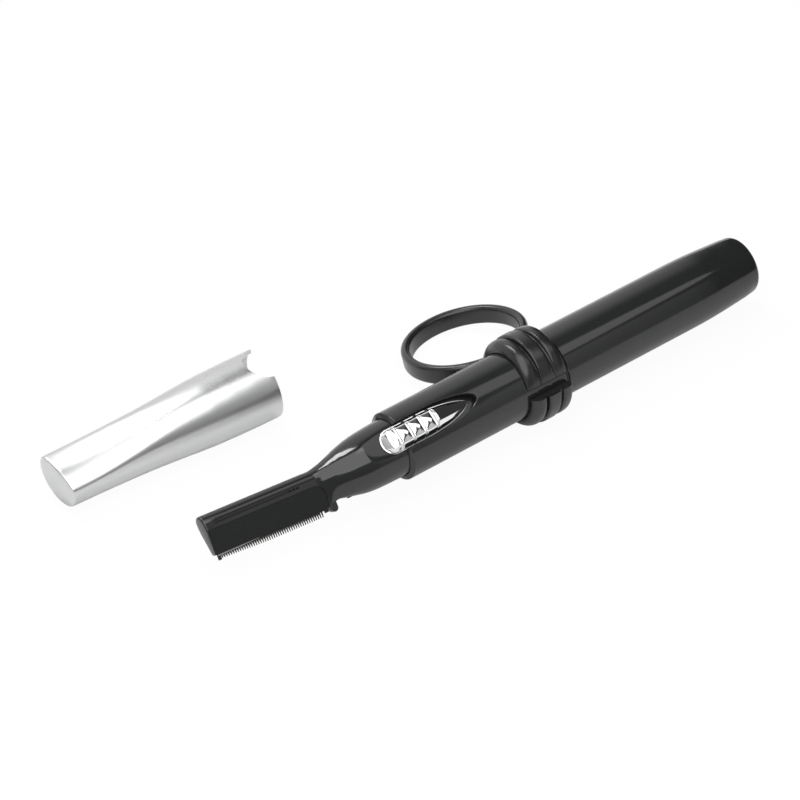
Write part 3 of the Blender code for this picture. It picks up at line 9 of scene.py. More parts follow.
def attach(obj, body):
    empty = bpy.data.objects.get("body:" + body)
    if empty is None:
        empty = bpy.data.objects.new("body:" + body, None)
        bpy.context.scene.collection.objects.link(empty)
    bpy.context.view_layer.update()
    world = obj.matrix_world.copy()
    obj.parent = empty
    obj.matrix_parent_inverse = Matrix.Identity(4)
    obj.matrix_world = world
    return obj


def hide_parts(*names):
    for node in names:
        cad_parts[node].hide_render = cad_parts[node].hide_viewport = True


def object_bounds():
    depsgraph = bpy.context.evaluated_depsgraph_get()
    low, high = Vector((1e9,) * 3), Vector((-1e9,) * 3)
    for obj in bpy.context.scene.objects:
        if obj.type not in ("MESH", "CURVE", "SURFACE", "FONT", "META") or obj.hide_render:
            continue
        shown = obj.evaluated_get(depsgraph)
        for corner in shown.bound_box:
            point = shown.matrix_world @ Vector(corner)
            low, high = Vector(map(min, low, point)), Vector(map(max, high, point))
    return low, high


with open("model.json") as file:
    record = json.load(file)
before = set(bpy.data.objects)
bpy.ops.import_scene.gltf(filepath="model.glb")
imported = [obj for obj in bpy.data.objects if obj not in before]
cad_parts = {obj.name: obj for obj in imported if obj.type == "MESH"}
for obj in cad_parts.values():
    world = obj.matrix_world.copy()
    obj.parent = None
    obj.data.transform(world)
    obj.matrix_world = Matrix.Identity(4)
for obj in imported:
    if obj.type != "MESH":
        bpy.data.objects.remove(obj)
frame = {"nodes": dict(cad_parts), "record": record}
cad_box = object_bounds()
nodes = frame["nodes"]

# Studio: the camera stands high to the front left of the pen, on a long lens.
# The pen lies on white paper under a dim ceiling, with a white wall behind it and three soft boxes above.
studio = bpy.context.scene
studio.view_settings.view_transform = "Standard"
camera = bpy.data.objects.new("camera", bpy.data.cameras.new("camera"))
studio.collection.objects.link(camera)
camera.data.lens = 135
camera.data.sensor_width = 36
camera_place = (-0.3537, -0.3825, 0.4002)
camera_rows = ((0.8007, -0.5972, -0.0476), (0.4139, 0.4941, 0.7646), (-0.4331, -0.6318, 0.6428))
camera.matrix_world = Matrix.Translation(camera_place) @ Matrix(camera_rows).transposed().to_4x4()
studio.camera = camera


def wire(tree, start, end):
    """Joins one socket to another, each written as (node, socket name or number)."""
    tree.links.new(start[0].outputs[start[1]], end[0].inputs[end[1]])


def node(tree, kind, **settings):
    """Adds a node and sets its options, or its sockets where the name is one of theirs."""
    made = tree.nodes.new(kind)
    for name, value in settings.items():
        if name in made.inputs:
            made.inputs[name].default_value = value
        else:
            setattr(made, name, value)
    return made


def graded(tree, source, low, high, curve="LINEAR"):
    """Turns a value between low and high into a share from 0 to 1."""
    made = node(tree, "ShaderNodeMapRange", interpolation_type=curve)
    made.inputs["From Min"].default_value = low
    made.inputs["From Max"].default_value = high
    wire(tree, source, (made, "Value"))
    return made


def ramp(tree, source, first, stops, last, blue=1.0):
    """A colour ramp through greys at places, between a first and a last colour."""
    made = node(tree, "ShaderNodeValToRGB")
    for place, grey in stops:
        stop = made.color_ramp.elements.new(place)
        stop.color = (grey, grey, grey * blue, 1)
    made.color_ramp.elements[0].color = (*first, 1)
    made.color_ramp.elements[-1].color = (*last, 1)
    wire(tree, source, (made, "Fac"))
    return made


def greyed(tree, share, base, grey):
    """Mixes a plain grey into a colour by a share."""
    made = node(tree, "ShaderNodeMix", data_type="RGBA")
    made.inputs[7].default_value = (grey, grey, grey, 1)
    wire(tree, share, (made, 0))
    wire(tree, base, (made, 6))
    return made


def either(tree, test, otherwise, when):
    """Picks one of two shaders by a test, or mixes them by a share."""
    made = node(tree, "ShaderNodeMixShader")
    wire(tree, test, (made, "Fac"))
    wire(tree, (otherwise, 0), (made, 1))
    wire(tree, (when, 0), (made, 2))
    return made


room = bpy.data.worlds.new("room")
studio.world = room
room.use_nodes = True
tree = room.node_tree
direction = node(tree, "ShaderNodeTexCoord")
parts = node(tree, "ShaderNodeSeparateXYZ")
wire(tree, (direction, "Generated"), (parts, "Vector"))
half_up = graded(tree, (parts, "Z"), -1, 1)
height = ramp(
    tree, (half_up, "Result"), (0.46, 0.46, 0.46),
    ((0.5, 0.46), (0.62, 0.5), (0.74, 0.62), (0.816, 0.72), (0.824, 0.13)), (0.12, 0.12, 0.125), blue=1.01,
)
half_right = graded(tree, (parts, "X"), -1, 1)
shade = ramp(
    tree, (half_right, "Result"), (0, 0, 0),
    ((0.10, 0.0), (0.22, 0.0), (0.26, 0.62), (0.57, 0.60), (0.70, 0.0)), (0, 0, 0),
)
front_dimmed = greyed(tree, (shade, "Color"), (height, "Color"), 0.03)
back_wall = graded(tree, (parts, "Y"), 0.22, 0.72, "SMOOTHSTEP")
back_lit = greyed(tree, (back_wall, "Result"), (front_dimmed, 2), 1)
right_wall = graded(tree, (parts, "X"), 0.47, 0.62, "SMOOTHSTEP")
right_dimmed = greyed(tree, (right_wall, "Result"), (back_lit, 2), 0.04)
path = node(tree, "ShaderNodeLightPath")
soft_light = node(tree, "ShaderNodeBackground", Color=(1, 1, 1, 1), Strength=0.16)
seen_in_gloss = node(tree, "ShaderNodeBackground", Strength=1.0)
wire(tree, (right_dimmed, 2), (seen_in_gloss, "Color"))
white = node(tree, "ShaderNodeBackground", Color=(1, 1, 1, 1), Strength=1.0)
gloss_or_light = either(tree, (path, "Is Glossy Ray"), soft_light, seen_in_gloss)
camera_or_rest = either(tree, (path, "Is Camera Ray"), gloss_or_light, white)
wire(tree, (camera_or_rest, 0), (tree.nodes["World Output"], "Surface"))
pen_middle = Vector((-0.08, 0, 0))


def soft_box(name, place, size, radiance, shape="RECTANGLE"):
    """A lamp behind a diffuser that hangs at a place in metres and faces the pen."""
    lamp = bpy.data.lights.new(name, "AREA")
    lamp.shape = shape
    lamp.size, lamp.size_y = size
    area = size[0] * size[1] * (math.pi / 4 if shape == "ELLIPSE" else 1)
    lamp.energy = radiance * math.pi * area
    stand = bpy.data.objects.new(name, lamp)
    stand.visible_camera = False
    studio.collection.objects.link(stand)
    back = Vector(place) - pen_middle
    stand.matrix_world = Matrix.Translation(place) @ back.to_track_quat("Z", "Y").to_matrix().to_4x4()


soft_box("top_box", (-0.26, -0.22, 0.5), (0.72, 0.72), 2.7, "ELLIPSE")
soft_box("side_box", (0.11, -0.13, 0.5), (0.19, 0.44), 1.4)
soft_box("back_strip", (-0.125, 0.33, 0.5), (0.09, 0.36), 15)

table_top = cad_box[0][2] - 0.00003
mesh = bmesh.new()
bmesh.ops.create_grid(mesh, x_segments=1, y_segments=1, size=0.9)
bmesh.ops.translate(mesh, verts=mesh.verts, vec=(-0.07, 0.1, table_top))
data = bpy.data.meshes.new("table")
mesh.to_mesh(data)
mesh.free()
table = bpy.data.objects.new("table", data)
studio.collection.objects.link(table)


def scaled(tree, source, factor):
    """Multiplies a value by a factor."""
    made = node(tree, "ShaderNodeMath", operation="MULTIPLY")
    wire(tree, source, (made, 0))
    made.inputs[1].default_value = factor
    return made


paper = bpy.data.materials.new("white_paper")
paper.use_nodes = True
tree = paper.node_tree
tree.nodes.clear()
sheet = node(tree, "ShaderNodeBsdfDiffuse", Color=(0.9, 0.9, 0.9, 1))
glow = node(tree, "ShaderNodeEmission", Color=(1, 1, 1, 1), Strength=1.0)
path = node(tree, "ShaderNodeLightPath")
seen = scaled(tree, (path, "Is Camera Ray"), 0.95)
mirrored = scaled(tree, (path, "Is Glossy Ray"), 0.1)
share = node(tree, "ShaderNodeMath", operation="ADD")
wire(tree, (seen, 0), (share, 0))
wire(tree, (mirrored, 0), (share, 1))
blend = either(tree, (share, 0), sheet, glow)
output = node(tree, "ShaderNodeOutputMaterial")
wire(tree, (blend, 0), (output, "Surface"))
data.materials.append(paper)

# Tail: the long battery cover, a deep glossy black moulding in ABS.
# It is turned in shape, narrows towards its end and pushes onto the barrel's spigot.
pen_length, barrel_radius, bore, edge_break = 139.7, 7.5, 6.5, 0.12
pen = Matrix.Scale(0.001, 4) @ Matrix.Translation((-pen_length, 0, 0))


def spun(profile, place, steps=160):
    """Spins a profile of (station, radius) in millimetres round the X axis of a place."""
    mesh = bmesh.new()
    verts = [mesh.verts.new((station, 0, radius)) for station, radius in profile]
    edges = [mesh.edges.new(pair) for pair in zip(verts, verts[1:])]
    bmesh.ops.spin(
        mesh, geom=verts + edges, cent=(0, 0, 0), axis=(1, 0, 0), angle=math.tau, steps=steps, use_merge=True,
    )
    bmesh.ops.remove_doubles(mesh, verts=mesh.verts, dist=1e-4)
    bmesh.ops.recalc_face_normals(mesh, faces=mesh.faces)
    mesh.transform(place)
    return mesh


def eased(rows, steps):
    """Points on a smooth curve through rows of numbers."""
    points = []
    for index in range(len(rows) - 1):
        before, start = rows[max(index - 1, 0)], rows[index]
        end, after = rows[index + 1], rows[min(index + 2, len(rows) - 1)]
        for step in range(steps):
            t = step / steps
            points.append(tuple(
                0.5 * (2 * b + (c - a) * t + (2 * a - 5 * b + 4 * c - d) * t ** 2 + (3 * b - a - 3 * c + d) * t ** 3)
                for a, b, c, d in zip(before, start, end, after)
            ))
    return points + [tuple(rows[-1])]


def quarter(corner, start, end, steps=5):
    """Points of a quarter round from start to end, bulging towards the corner."""
    points = []
    for step in range(steps + 1):
        turn = math.pi / 2 * step / steps
        a, b = math.cos(turn), math.sin(turn)
        points.append(tuple(
            s + e - c + (c - e) * a + (c - s) * b for s, e, c in zip(start, end, corner)
        ))
    return points


def moulding(name, mesh, body, replaced, finish, sharp=38, edge=0.0):
    """Shades a mesh, breaks its sharp edges and hangs it on its body in place of CAD nodes."""
    for face in mesh.faces:
        face.smooth = True
    for rim in mesh.edges:
        rim.smooth = len(rim.link_faces) != 2 or rim.calc_face_angle() < math.radians(sharp)
    data = bpy.data.meshes.new(name)
    mesh.to_mesh(data)
    mesh.free()
    data.materials.append(finish)
    piece = bpy.data.objects.new(name, data)
    studio.collection.objects.link(piece)
    if edge:
        round_off = piece.modifiers.new("round_off", "BEVEL")
        round_off.width = edge / 1000
        round_off.segments = 3
        round_off.limit_method = "ANGLE"
        round_off.angle_limit = math.radians(sharp)
        round_off.use_clamp_overlap = True
        round_off.harden_normals = True
    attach(piece, body)
    if replaced:
        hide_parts(*replaced)


def surface(name, colour, roughness, metallic=0.0, spread=0.04, cloud=60, grain=2500, relief=0.004, tint=0.06):
    """A finish with faint clouds in its gloss, a fine grain in its relief and a slight change of shade."""
    finish = bpy.data.materials.new(name)
    finish.use_nodes = True
    tree = finish.node_tree
    skin = tree.nodes["Principled BSDF"]
    skin.inputs["Metallic"].default_value = metallic
    where = node(tree, "ShaderNodeTexCoord")
    clouds = node(tree, "ShaderNodeTexNoise", Scale=cloud, Detail=4.0, Roughness=0.55)
    wire(tree, (where, "Object"), (clouds, "Vector"))
    gloss = node(tree, "ShaderNodeMapRange")
    gloss.inputs["To Min"].default_value = max(roughness - spread, 0.01)
    gloss.inputs["To Max"].default_value = roughness + spread
    wire(tree, (clouds, "Fac"), (gloss, "Value"))
    wire(tree, (gloss, "Result"), (skin, "Roughness"))
    fine = node(tree, "ShaderNodeTexNoise", Scale=grain, Detail=3.0, Roughness=0.6)
    wire(tree, (where, "Object"), (fine, "Vector"))
    shade = node(tree, "ShaderNodeMix", data_type="RGBA")
    shade.inputs[6].default_value = (*(c * (1 - tint) for c in colour), 1)
    shade.inputs[7].default_value = (*(min(c * (1 + tint), 1) for c in colour), 1)
    wire(tree, (fine, "Fac"), (shade, 0))
    wire(tree, (shade, 2), (skin, "Base Color"))
    bump = node(tree, "ShaderNodeBump", Strength=1.0, Distance=relief / 1000)
    wire(tree, (fine, "Fac"), (bump, "Height"))
    wire(tree, (bump, "Normal"), (skin, "Normal"))
    return finish


gloss_black = surface("gloss_black", (0.0155, 0.016, 0.016), 0.10, spread=0.04, grain=900, relief=0.0006)
tail_front, taper_length, taper_drop, end_wall = 86.2, 17, 0.85, 1.4
taper_start = pen_length - taper_length
narrowing = ((0.0, 0.0), (0.25, 0.10), (0.45, 0.30), (0.65, 0.56), (0.84, 0.80), (0.93, 1.0))
tail_outside = [(tail_front + edge_break, barrel_radius)] + [
    (taper_start + taper_length * place, barrel_radius - taper_drop * share) for place, share in eased(narrowing, 6)
]
last_station, last_radius = tail_outside[-1]
tail_outside += quarter((pen_length, last_radius), (last_station, last_radius), (pen_length, 6.1), 8)[1:]
tail = spun([
    (pen_length - end_wall, 0), (pen_length - end_wall, 5.4), (132.0, 6.0), (taper_start, bore), (tail_front, bore),
    (tail_front, barrel_radius - edge_break), *tail_outside, (pen_length, 0),
], pen)
moulding("tail_moulding", tail, "tail", ["tail_cover"], gloss_black)

# Seal: a thin black rubber ring that closes the seam between the barrel and the tail.
# It is squeezed a little, so that its outer face bulges between both edges.
rubber = surface("seal_rubber", (0.010, 0.010, 0.010), 0.62, spread=0.08, grain=3000, relief=0.004)
seal = spun([
    (85.65, bore), (85.65, 7.25), (85.78, 7.36), (86.02, 7.36), (86.15, 7.25), (86.15, bore), (85.65, bore),
], pen)
moulding("seal", seal, "body", ["seal_ring"], rubber)

# Front barrel: a glossy black tube whose mouth is cut away in a pointed pocket for the switch.
# The pocket's rim is rounded where the tool parts, and the spigot at the rear carries the tail.
shoulder, seam, spigot_start, spigot_end = 45.3, 85.6, 84.8, 93.6
spigot_radius, spigot_bore, mouth_bore = 6.35, 5.65, 6.39
pocket_tip, floor_height, rim_round = 64.4, 5.5, 0.22
switch_turn = math.radians(34)
switch_side = pen @ Matrix.Rotation(switch_turn, 4, "X")


def skin(rings, place):
    """Lays a grid through closed rings of points, welds it into a tube and closes its ends."""
    columns, rows = len(rings[0]), len(rings) - 1
    mesh = bmesh.new()
    bmesh.ops.create_grid(mesh, x_segments=columns, y_segments=rows, size=0.5)
    for vert in mesh.verts:
        column = round((vert.co.x + 0.5) * columns) % columns
        vert.co = rings[round((vert.co.y + 0.5) * rows)][column]
    bmesh.ops.remove_doubles(mesh, verts=mesh.verts, dist=1e-4)
    open_edges = [rim for rim in mesh.edges if len(rim.link_faces) == 1]
    bmesh.ops.holes_fill(mesh, edges=open_edges, sides=0)
    bmesh.ops.recalc_face_normals(mesh, faces=mesh.faces)
    mesh.transform(place)
    return mesh


def cut(mesh, tool, operation="DIFFERENCE"):
    """Cuts a tool out of a mesh, or joins it on, and gives back the new mesh."""
    pair = []
    for shape in (mesh, tool):
        data = bpy.data.meshes.new("blank")
        shape.to_mesh(data)
        shape.free()
        blank = bpy.data.objects.new("blank", data)
        studio.collection.objects.link(blank)
        pair.append(blank)
    step = pair[0].modifiers.new("cut", "BOOLEAN")
    step.operation = operation
    step.solver = "EXACT"
    step.object = pair[1]
    result = bmesh.new()
    result.from_mesh(pair[0].evaluated_get(bpy.context.evaluated_depsgraph_get()).data)
    for blank in pair:
        bpy.data.objects.remove(blank)
    return result


def boat(front, tip, half_width, nose, point, fullness, grow=0.0, count=20):
    """Plan outline with a round nose and a pointed rear, as (station, side), grown all round."""
    side = []
    for index in range(count):
        turn = math.pi / 2 * index / count
        side.append((front + nose * (1 - math.cos(turn)), half_width * math.sin(turn)))
    for index in range(count + 1):
        share = math.sin(math.pi / 2 * index / count)
        side.append((tip - point * (1 - share), half_width * max(1 - share * share, 0) ** fullness))
    outline = side + [(station, -across) for station, across in side[1:-1]][::-1]
    grown = []
    for index, (station, across) in enumerate(outline):
        before, after = outline[index - 1], outline[(index + 1) % len(outline)]
        along = Vector((after[0] - before[0], after[1] - before[1])).normalized()
        grown.append((station - along.y * grow, across + along.x * grow))
    return grown


def on_barrel(across, depth):
    """Height of the barrel's surface above its axis at a distance to the side, less a depth."""
    return math.sqrt(max(barrel_radius ** 2 - across ** 2, 0)) - depth


mouth_round = quarter(
    (shoulder + 0.42, barrel_radius), (shoulder + 0.56, barrel_radius),
    (shoulder + 0.38, barrel_radius - edge_break), 4,
)
barrel = spun([
    (spigot_start, bore), (spigot_start, spigot_bore), (spigot_end, spigot_bore), (spigot_end, spigot_radius - 0.25),
    (spigot_end - 0.25, spigot_radius), (seam, spigot_radius), (seam, barrel_radius - edge_break),
    (seam - edge_break, barrel_radius), *mouth_round, (shoulder, bore), (shoulder + 0.1, mouth_bore),
    (shoulder + 3, mouth_bore), (shoulder + 3, bore), (spigot_start, bore),
], pen, 192)
pocket = (shoulder - 9.55, pocket_tip - 0.2, 3.04, 3.2, 11.5, 0.55)
rings = [[(x, y, floor_height - 0.9) for x, y in boat(*pocket)]]
for step in range(7):
    turn = math.pi / 2 * step / 6
    grow, depth = rim_round * (1 - math.cos(turn)), rim_round * (1 - math.sin(turn))
    rings.append([(x, y, on_barrel(y, depth)) for x, y in boat(*pocket, grow)])
rings.append([(x, y, on_barrel(y, -1.2)) for x, y in boat(*pocket, rim_round + 0.3)])
barrel = cut(barrel, skin(rings, switch_side))
moulding("barrel_moulding", barrel, "body", ["front_barrel"], gloss_black, sharp=30)

# Head and neck: two glossy black half shells, parted along the spine, that carry the blade.
# The slim blade holder swells into the round neck, and a facet for the switch runs up it.
neck_start, neck_radius, neck_end = 26.2, 6.35, 64.9
head_front, head_round = 0.28, 0.45
head_up, head_down, half_thick, half_foot, plate_top = 4.55, 3.9, 1.95, 0.95, 1.3
plate_front, plate_rear, plate_depth, plate_corner = 0.6, 27.1, 5.2, 2.4
cant, cant_pivot, head_turn = math.radians(4.5), 13.7, math.radians(40)
neck_side = pen @ Matrix.Rotation(-head_turn, 4, "X")
shift = Matrix.Translation((cant_pivot, 0, 0))
head_place = neck_side @ shift @ Matrix.Rotation(cant, 4, "Y") @ shift.inverted()
slope = math.atan2(half_thick - half_foot, head_down + plate_top)
cover_place = head_place @ Matrix.Translation((0, -half_thick, plate_top)) @ Matrix.Rotation(slope, 4, "X")


def plate(outline, low, high, place):
    """Draws an outline of (station, height) as one face and pulls it into a plate."""
    mesh = bmesh.new()
    face = mesh.faces.new([mesh.verts.new((x, low, z)) for x, z in outline])
    pulled = bmesh.ops.extrude_face_region(mesh, geom=[face])
    moved = [item for item in pulled["geom"] if isinstance(item, bmesh.types.BMVert)]
    bmesh.ops.translate(mesh, verts=moved, vec=(0, high - low, 0))
    bmesh.ops.recalc_face_normals(mesh, faces=mesh.faces)
    mesh.transform(place)
    return mesh


def cover_outline(grow):
    """The blade cover's outline with its rounded corner, grown all round."""
    front, rear = plate_front - grow, plate_rear + grow
    corner = quarter((rear, grow), (rear - plate_corner, grow), (rear, grow - plate_corner), 10)
    return [(front, -plate_depth - grow), (front, grow), *corner, (rear, -plate_depth - grow)]


def between(rows, place):
    """Height at a place on straight lines through rows of (place, height), and nothing past them."""
    for (a, low), (b, high) in zip(rows, rows[1:]):
        if a <= place <= b:
            return low + (high - low) * (place - a) / max(b - a, 1e-6)
    return 0.0


def straight(start, end, steps):
    """Points at even steps on a straight line, without the first one."""
    return [tuple(a + (b - a) * t / steps for a, b in zip(start, end)) for t in range(1, steps + 1)]


# Half the blade holder's outline from its back round to its foot, as (side, height, place on the round neck).
spine = ((0.0, 1.0), (0.4, 0.97), (0.74, 0.87), (0.92, 0.74), (0.99, 0.62))
# How the holder swells into the neck, as shares along, up, down, across and of roundness.
swell = (
    (0.00, 0.00, 0.00, 0.00, 0.00), (0.07, 0.06, -0.15, 0.06, 0.15), (0.17, 0.18, -0.38, 0.22, 0.50),
    (0.28, 0.38, -0.05, 0.42, 0.80), (0.38, 0.57, 0.28, 0.59, 0.95), (0.50, 0.75, 0.66, 0.75, 1.00),
    (0.62, 0.87, 0.86, 0.87, 1.00), (0.75, 0.94, 0.94, 0.94, 1.00), (0.88, 0.985, 0.98, 0.985, 1.00),
    (1.00, 1.00, 1.00, 1.00, 1.00),
)
corners = [(y * half_thick, z * head_up, k) for k, (y, z) in enumerate(spine)]
last = len(corners) + 7
outline = eased(corners, 5)
flank_top, flank_foot = (half_thick, plate_top, len(corners)), (half_foot, -head_down, last - 1)
outline += straight(outline[-1], flank_top, 4)
outline += straight(flank_top, flank_foot, 24)[:-1]
outline += quarter(
    (half_foot, -head_down, last - 1), (half_foot + 0.04, -head_down + 0.22, last - 1.2),
    (half_foot - 0.25, -head_down, last - 0.8), 4,
)
outline += [(half_foot * (1 - t / 4) * 0.74, -head_down, last - 0.8 + 0.2 * t) for t in range(1, 5)]
facet_run, facet_soft = 19.1, 0.12
facet_dip = (
    (0.0, 0.0), (0.2, 0.0), (0.43, 0.06), (0.6, 0.33), (0.9, 0.833), (0.96, 0.912), (1.0, 0.93), (1.04, 0.915),
    (1.1, 0.847),
)


def facet_height(station):
    """Height of the switch facet above the axis: level near the barrel, dipping towards the blade."""
    place = (shoulder - station) / facet_run
    if place > facet_dip[-1][0]:
        return floor_height - 1.0 + 0.08 * (place - 1.0) * facet_run
    return floor_height - max(between(facet_dip, place), 0)


def shell_rings(way):
    """Half sections from the nose to the neck's end inside the barrel, on one side of the parting."""
    rings, stations = [], []
    for step in range(7):
        turn = step / 6 * math.pi / 2
        stations.append((head_front + head_round * (1 - math.cos(turn)), head_round * (1 - math.sin(turn))))
    stations += [(station, 0) for station in (6, 12, 17, 20, 22, 23.5, 24.3, 24.9, 25.4, 25.8)]
    for station, shrink in stations:
        lift = (cant_pivot - station) * math.tan(cant)
        rings.append([
            (station, y * (1 - shrink / half_thick), z * (1 - shrink / head_up) + lift) for y, z, _ in outline
        ])
    drop = (cant_pivot - neck_start) * math.tan(cant)
    for place, up, down, thick, roundness in eased(swell, 12):
        station = neck_start + (shoulder - neck_start) * place
        top = head_up + drop + (neck_radius - head_up - drop) * up
        bottom = head_down - drop + (neck_radius - head_down + drop) * down
        half = half_thick + (neck_radius - half_thick) * thick
        middle = drop * (1 - roundness)
        ring = []
        for y, z, k in outline:
            turn = math.pi * k / last
            side = (y / half_thick * (1 - roundness) + math.sin(turn) * roundness) * half
            rise = z / (head_up if z > 0 else head_down) * (1 - roundness) + math.cos(turn) * roundness
            ring.append((station, side, middle + rise * ((top - middle) if rise > 0 else (bottom + middle))))
        rings.append(ring)
    rings.append([(neck_end, y, z) for _, y, z in rings[-1]])
    lean = switch_turn + head_turn
    finished = []
    for ring in rings:
        points = []
        for x, y, z in ring:
            y = way * max(y, 0.02)
            reach = -y * math.sin(lean) + z * math.cos(lean)
            if x > 12 and reach > 0:
                low, high = sorted((reach, facet_height(x)))
                soft = low - facet_soft * math.log1p(math.exp((low - high) / facet_soft))
                y, z = y * soft / reach, z * soft / reach
                y = way * max(way * y, 0.02)
            points.append((x, y, z))
        finished.append(points)
    return finished


def block(low, high, place):
    """A square cutter between two corners."""
    mesh = bmesh.new()
    bmesh.ops.create_cube(mesh, size=1)
    low, high = Vector(low), Vector(high)
    bmesh.ops.scale(mesh, verts=mesh.verts, vec=high - low)
    bmesh.ops.translate(mesh, verts=mesh.verts, vec=(low + high) / 2)
    mesh.transform(place)
    return mesh


drive_room = [(30.0, 0), (30.0, 2.4), (34.8, 3.8), (41.9, 4.7), (66, 4.7), (66, 0)]
cutter_room = (0.65, -0.55, -5.5), (26.95, 0.6, -0.4)
rod_channel = (25.2, -0.53, -1.4), (35.75, 0.6, -0.3)
latch_room = (27.3, -1.1, -6.3), (29.2, 1.1, -2.45)
comb_window = (0.7, -2.95, -4.9), (26.85, 0.3, -2.6)
switch_window = (49.0, -0.95, 4.0), (54.2, 0.95, 6.5)
slot_runs, slot_low, slot_high = ((2.2, 20.3), (20.5, 20.95), (21.15, 22.0)), 2.16, 2.6
for way, name in ((-1, "front"), (1, "back")):
    shell = cut(skin(shell_rings(way), neck_side), spun(drive_room, neck_side, 48))
    for low, high in (cutter_room, rod_channel, latch_room):
        shell = cut(shell, block(low, high, head_place))
    if way < 0:
        shell = cut(shell, block(*comb_window, head_place))
        shell = cut(shell, block(*switch_window, switch_side))
        for start, end in slot_runs:
            shell = cut(shell, block((start, -3.0, slot_low), (end, -1.0, slot_high), head_place))
        shell = cut(shell, plate(cover_outline(0.07), -1.0, 0.25, cover_place))
    moulding(
        f"head_{name}", shell, "body", [f"head_{name}_shell"], gloss_black,
        sharp=32, edge=0.05,
    )

# Button: a chrome plated boat with steep sides, four grip ribs, a domed front and a long sloping rear.
# Its rim stands on a skirt level with the pocket's edge, and the skirt slides along the facet.
chrome = surface("button_chrome", (0.8, 0.8, 0.805), 0.06, 1.0, spread=0.02, grain=1500, relief=0.0003, tint=0.01)
button_front, button_tip, button_rim = 40.75, 62.95, 5.95
nose_length, shoulder_rise, crown_rise, pillow_dip = 3.0, 1.68, 1.99, 0.26
ribs = [44.42 + 3.02 * index for index in range(4)]
bead_side, bead_half, bead_rise = 0.19, 0.17, 0.3
rear_rise, flank_slope, flank_share, wall_lean = 1.9, 0.72, 0.694, 0.425
plan = (button_front, button_tip, 2.8, 2.7, 12.0, 0.62)
skirt = (
    (-0.3, floor_height + 0.12), (-0.12, floor_height + 0.12), (-0.12, button_rim - 0.34), (0, button_rim - 0.3),
    (0, button_rim - 0.07), (-0.02, button_rim - 0.02), (-0.07, button_rim), (-0.6, button_rim),
)
rings = [[(x, y, height) for x, y in boat(*plan, grow, 40)] for grow, height in skirt]
moulding("button_rim", skin(rings, switch_side), "switch", ["switch_button"], chrome, sharp=60)
half_plan = boat(*plan, -0.28, 60)[:121]


def arch(foot, side, rise, top_side, crown):
    """Half a section of the button: a steep side, a rounded shoulder and a faintly crowned top."""
    half = [(foot, 0), (side + 0.08, rise - 0.12)]
    half += quarter((side, rise), half[-1], (side - 0.14, rise + 0.05), 4)
    return half + [(top_side * (1 - t / 5), rise + (crown - rise) * (1 - (1 - t / 5) ** 2)) for t in range(6)]


front, rear, lift = button_front + 0.28, button_tip - 0.3, button_rim - 0.03
places = {front + nose_length * (1 - math.cos(math.pi / 2 * step / 18)) for step in range(19)}
places |= {front + nose_length + (ribs[-1] + 0.4 - front - nose_length) * step / 90 for step in range(91)}
places |= {
    rib + side + bead_half * math.cos(math.pi * step / 8)
    for rib in ribs for side in (-bead_side, bead_side) for step in range(9)
}
places |= {rear - (rear - ribs[-1]) * step / 50 for step in range(51)}
rings = []
for station in sorted(places):
    width = max(between(half_plan, station), 0.03)
    scale = 1.0
    if station < front + nose_length:
        scale = max(1 - (1 - (station - front) / nose_length) ** 2.2, 0.01)
    start = max([front + 1.9] + [rib for rib in ribs if rib <= station])
    pillow = 0.0
    if start < station < ribs[-1]:
        along = (station - start) / (min(rib for rib in ribs if rib > station) - start)
        pillow = -pillow_dip * (2 * along - 1) ** 2
    rib = max(max(1 - ((abs(station - place) - bead_side) / bead_half) ** 2, 0) ** 0.5 for place in ribs)
    back = min(max((station - ribs[-1]) / (rear - ribs[-1]), 0), 1)
    if back > 0.02:
        crown = rear_rise * (1 - max(back - 0.08, 0) / 0.92) ** 1.05 + 0.06 + bead_rise * rib
        top_side = min(1.0 - 0.35 * back, width * 0.8)
        rise = max((crown - flank_slope * (width - top_side)) / flank_share, 0.02)
        side = max(width - wall_lean * rise, top_side + 0.02)
        half = [(width + 0.12 * rib, 0), (side + 0.1 * rib, rise)]
        half += [(side + (top_side - side) * t / 5, rise + (crown - rise) * t / 5) for t in range(1, 6)]
        half += [(top_side * (1 - t / 6), crown + 0.01 * t) for t in range(1, 7)]
    else:
        tuck = 0.7 + 0.2 * max(1 - (station - front) / 3.4, 0)
        half = arch(
            width + 0.2 * rib, width * tuck + 0.05 * rib, shoulder_rise * scale, width * (tuck - 0.06),
            crown_rise * scale + pillow,
        )
        half = [(y, z + bead_rise * rib * min(z / 1.3, 1)) for y, z in half]
        half[-1] = (0, half[-1][1])
    rings.append([(station, -y, lift + z) for y, z in half] + [(station, y, lift + z) for y, z in half[-2::-1]])
moulding("button", skin(rings, switch_side), "switch", [], chrome, sharp=48)

# Blade cover: a thin matt black plate, stamped and glued into a seat on the head's front.
# Its upper rear corner is rounded.
matt_black = surface("matt_black", (0.006, 0.0065, 0.0065), 0.62, spread=0.05, grain=5000, relief=0.003, tint=0.12)
matt_black.node_tree.nodes["Principled BSDF"].inputs["Specular IOR Level"].default_value = 0.3
cover = plate(cover_outline(0), -0.10, 0.2, cover_place)
moulding("cover_plate", cover, "body", ["blade_cover"], matt_black, edge=0.06)

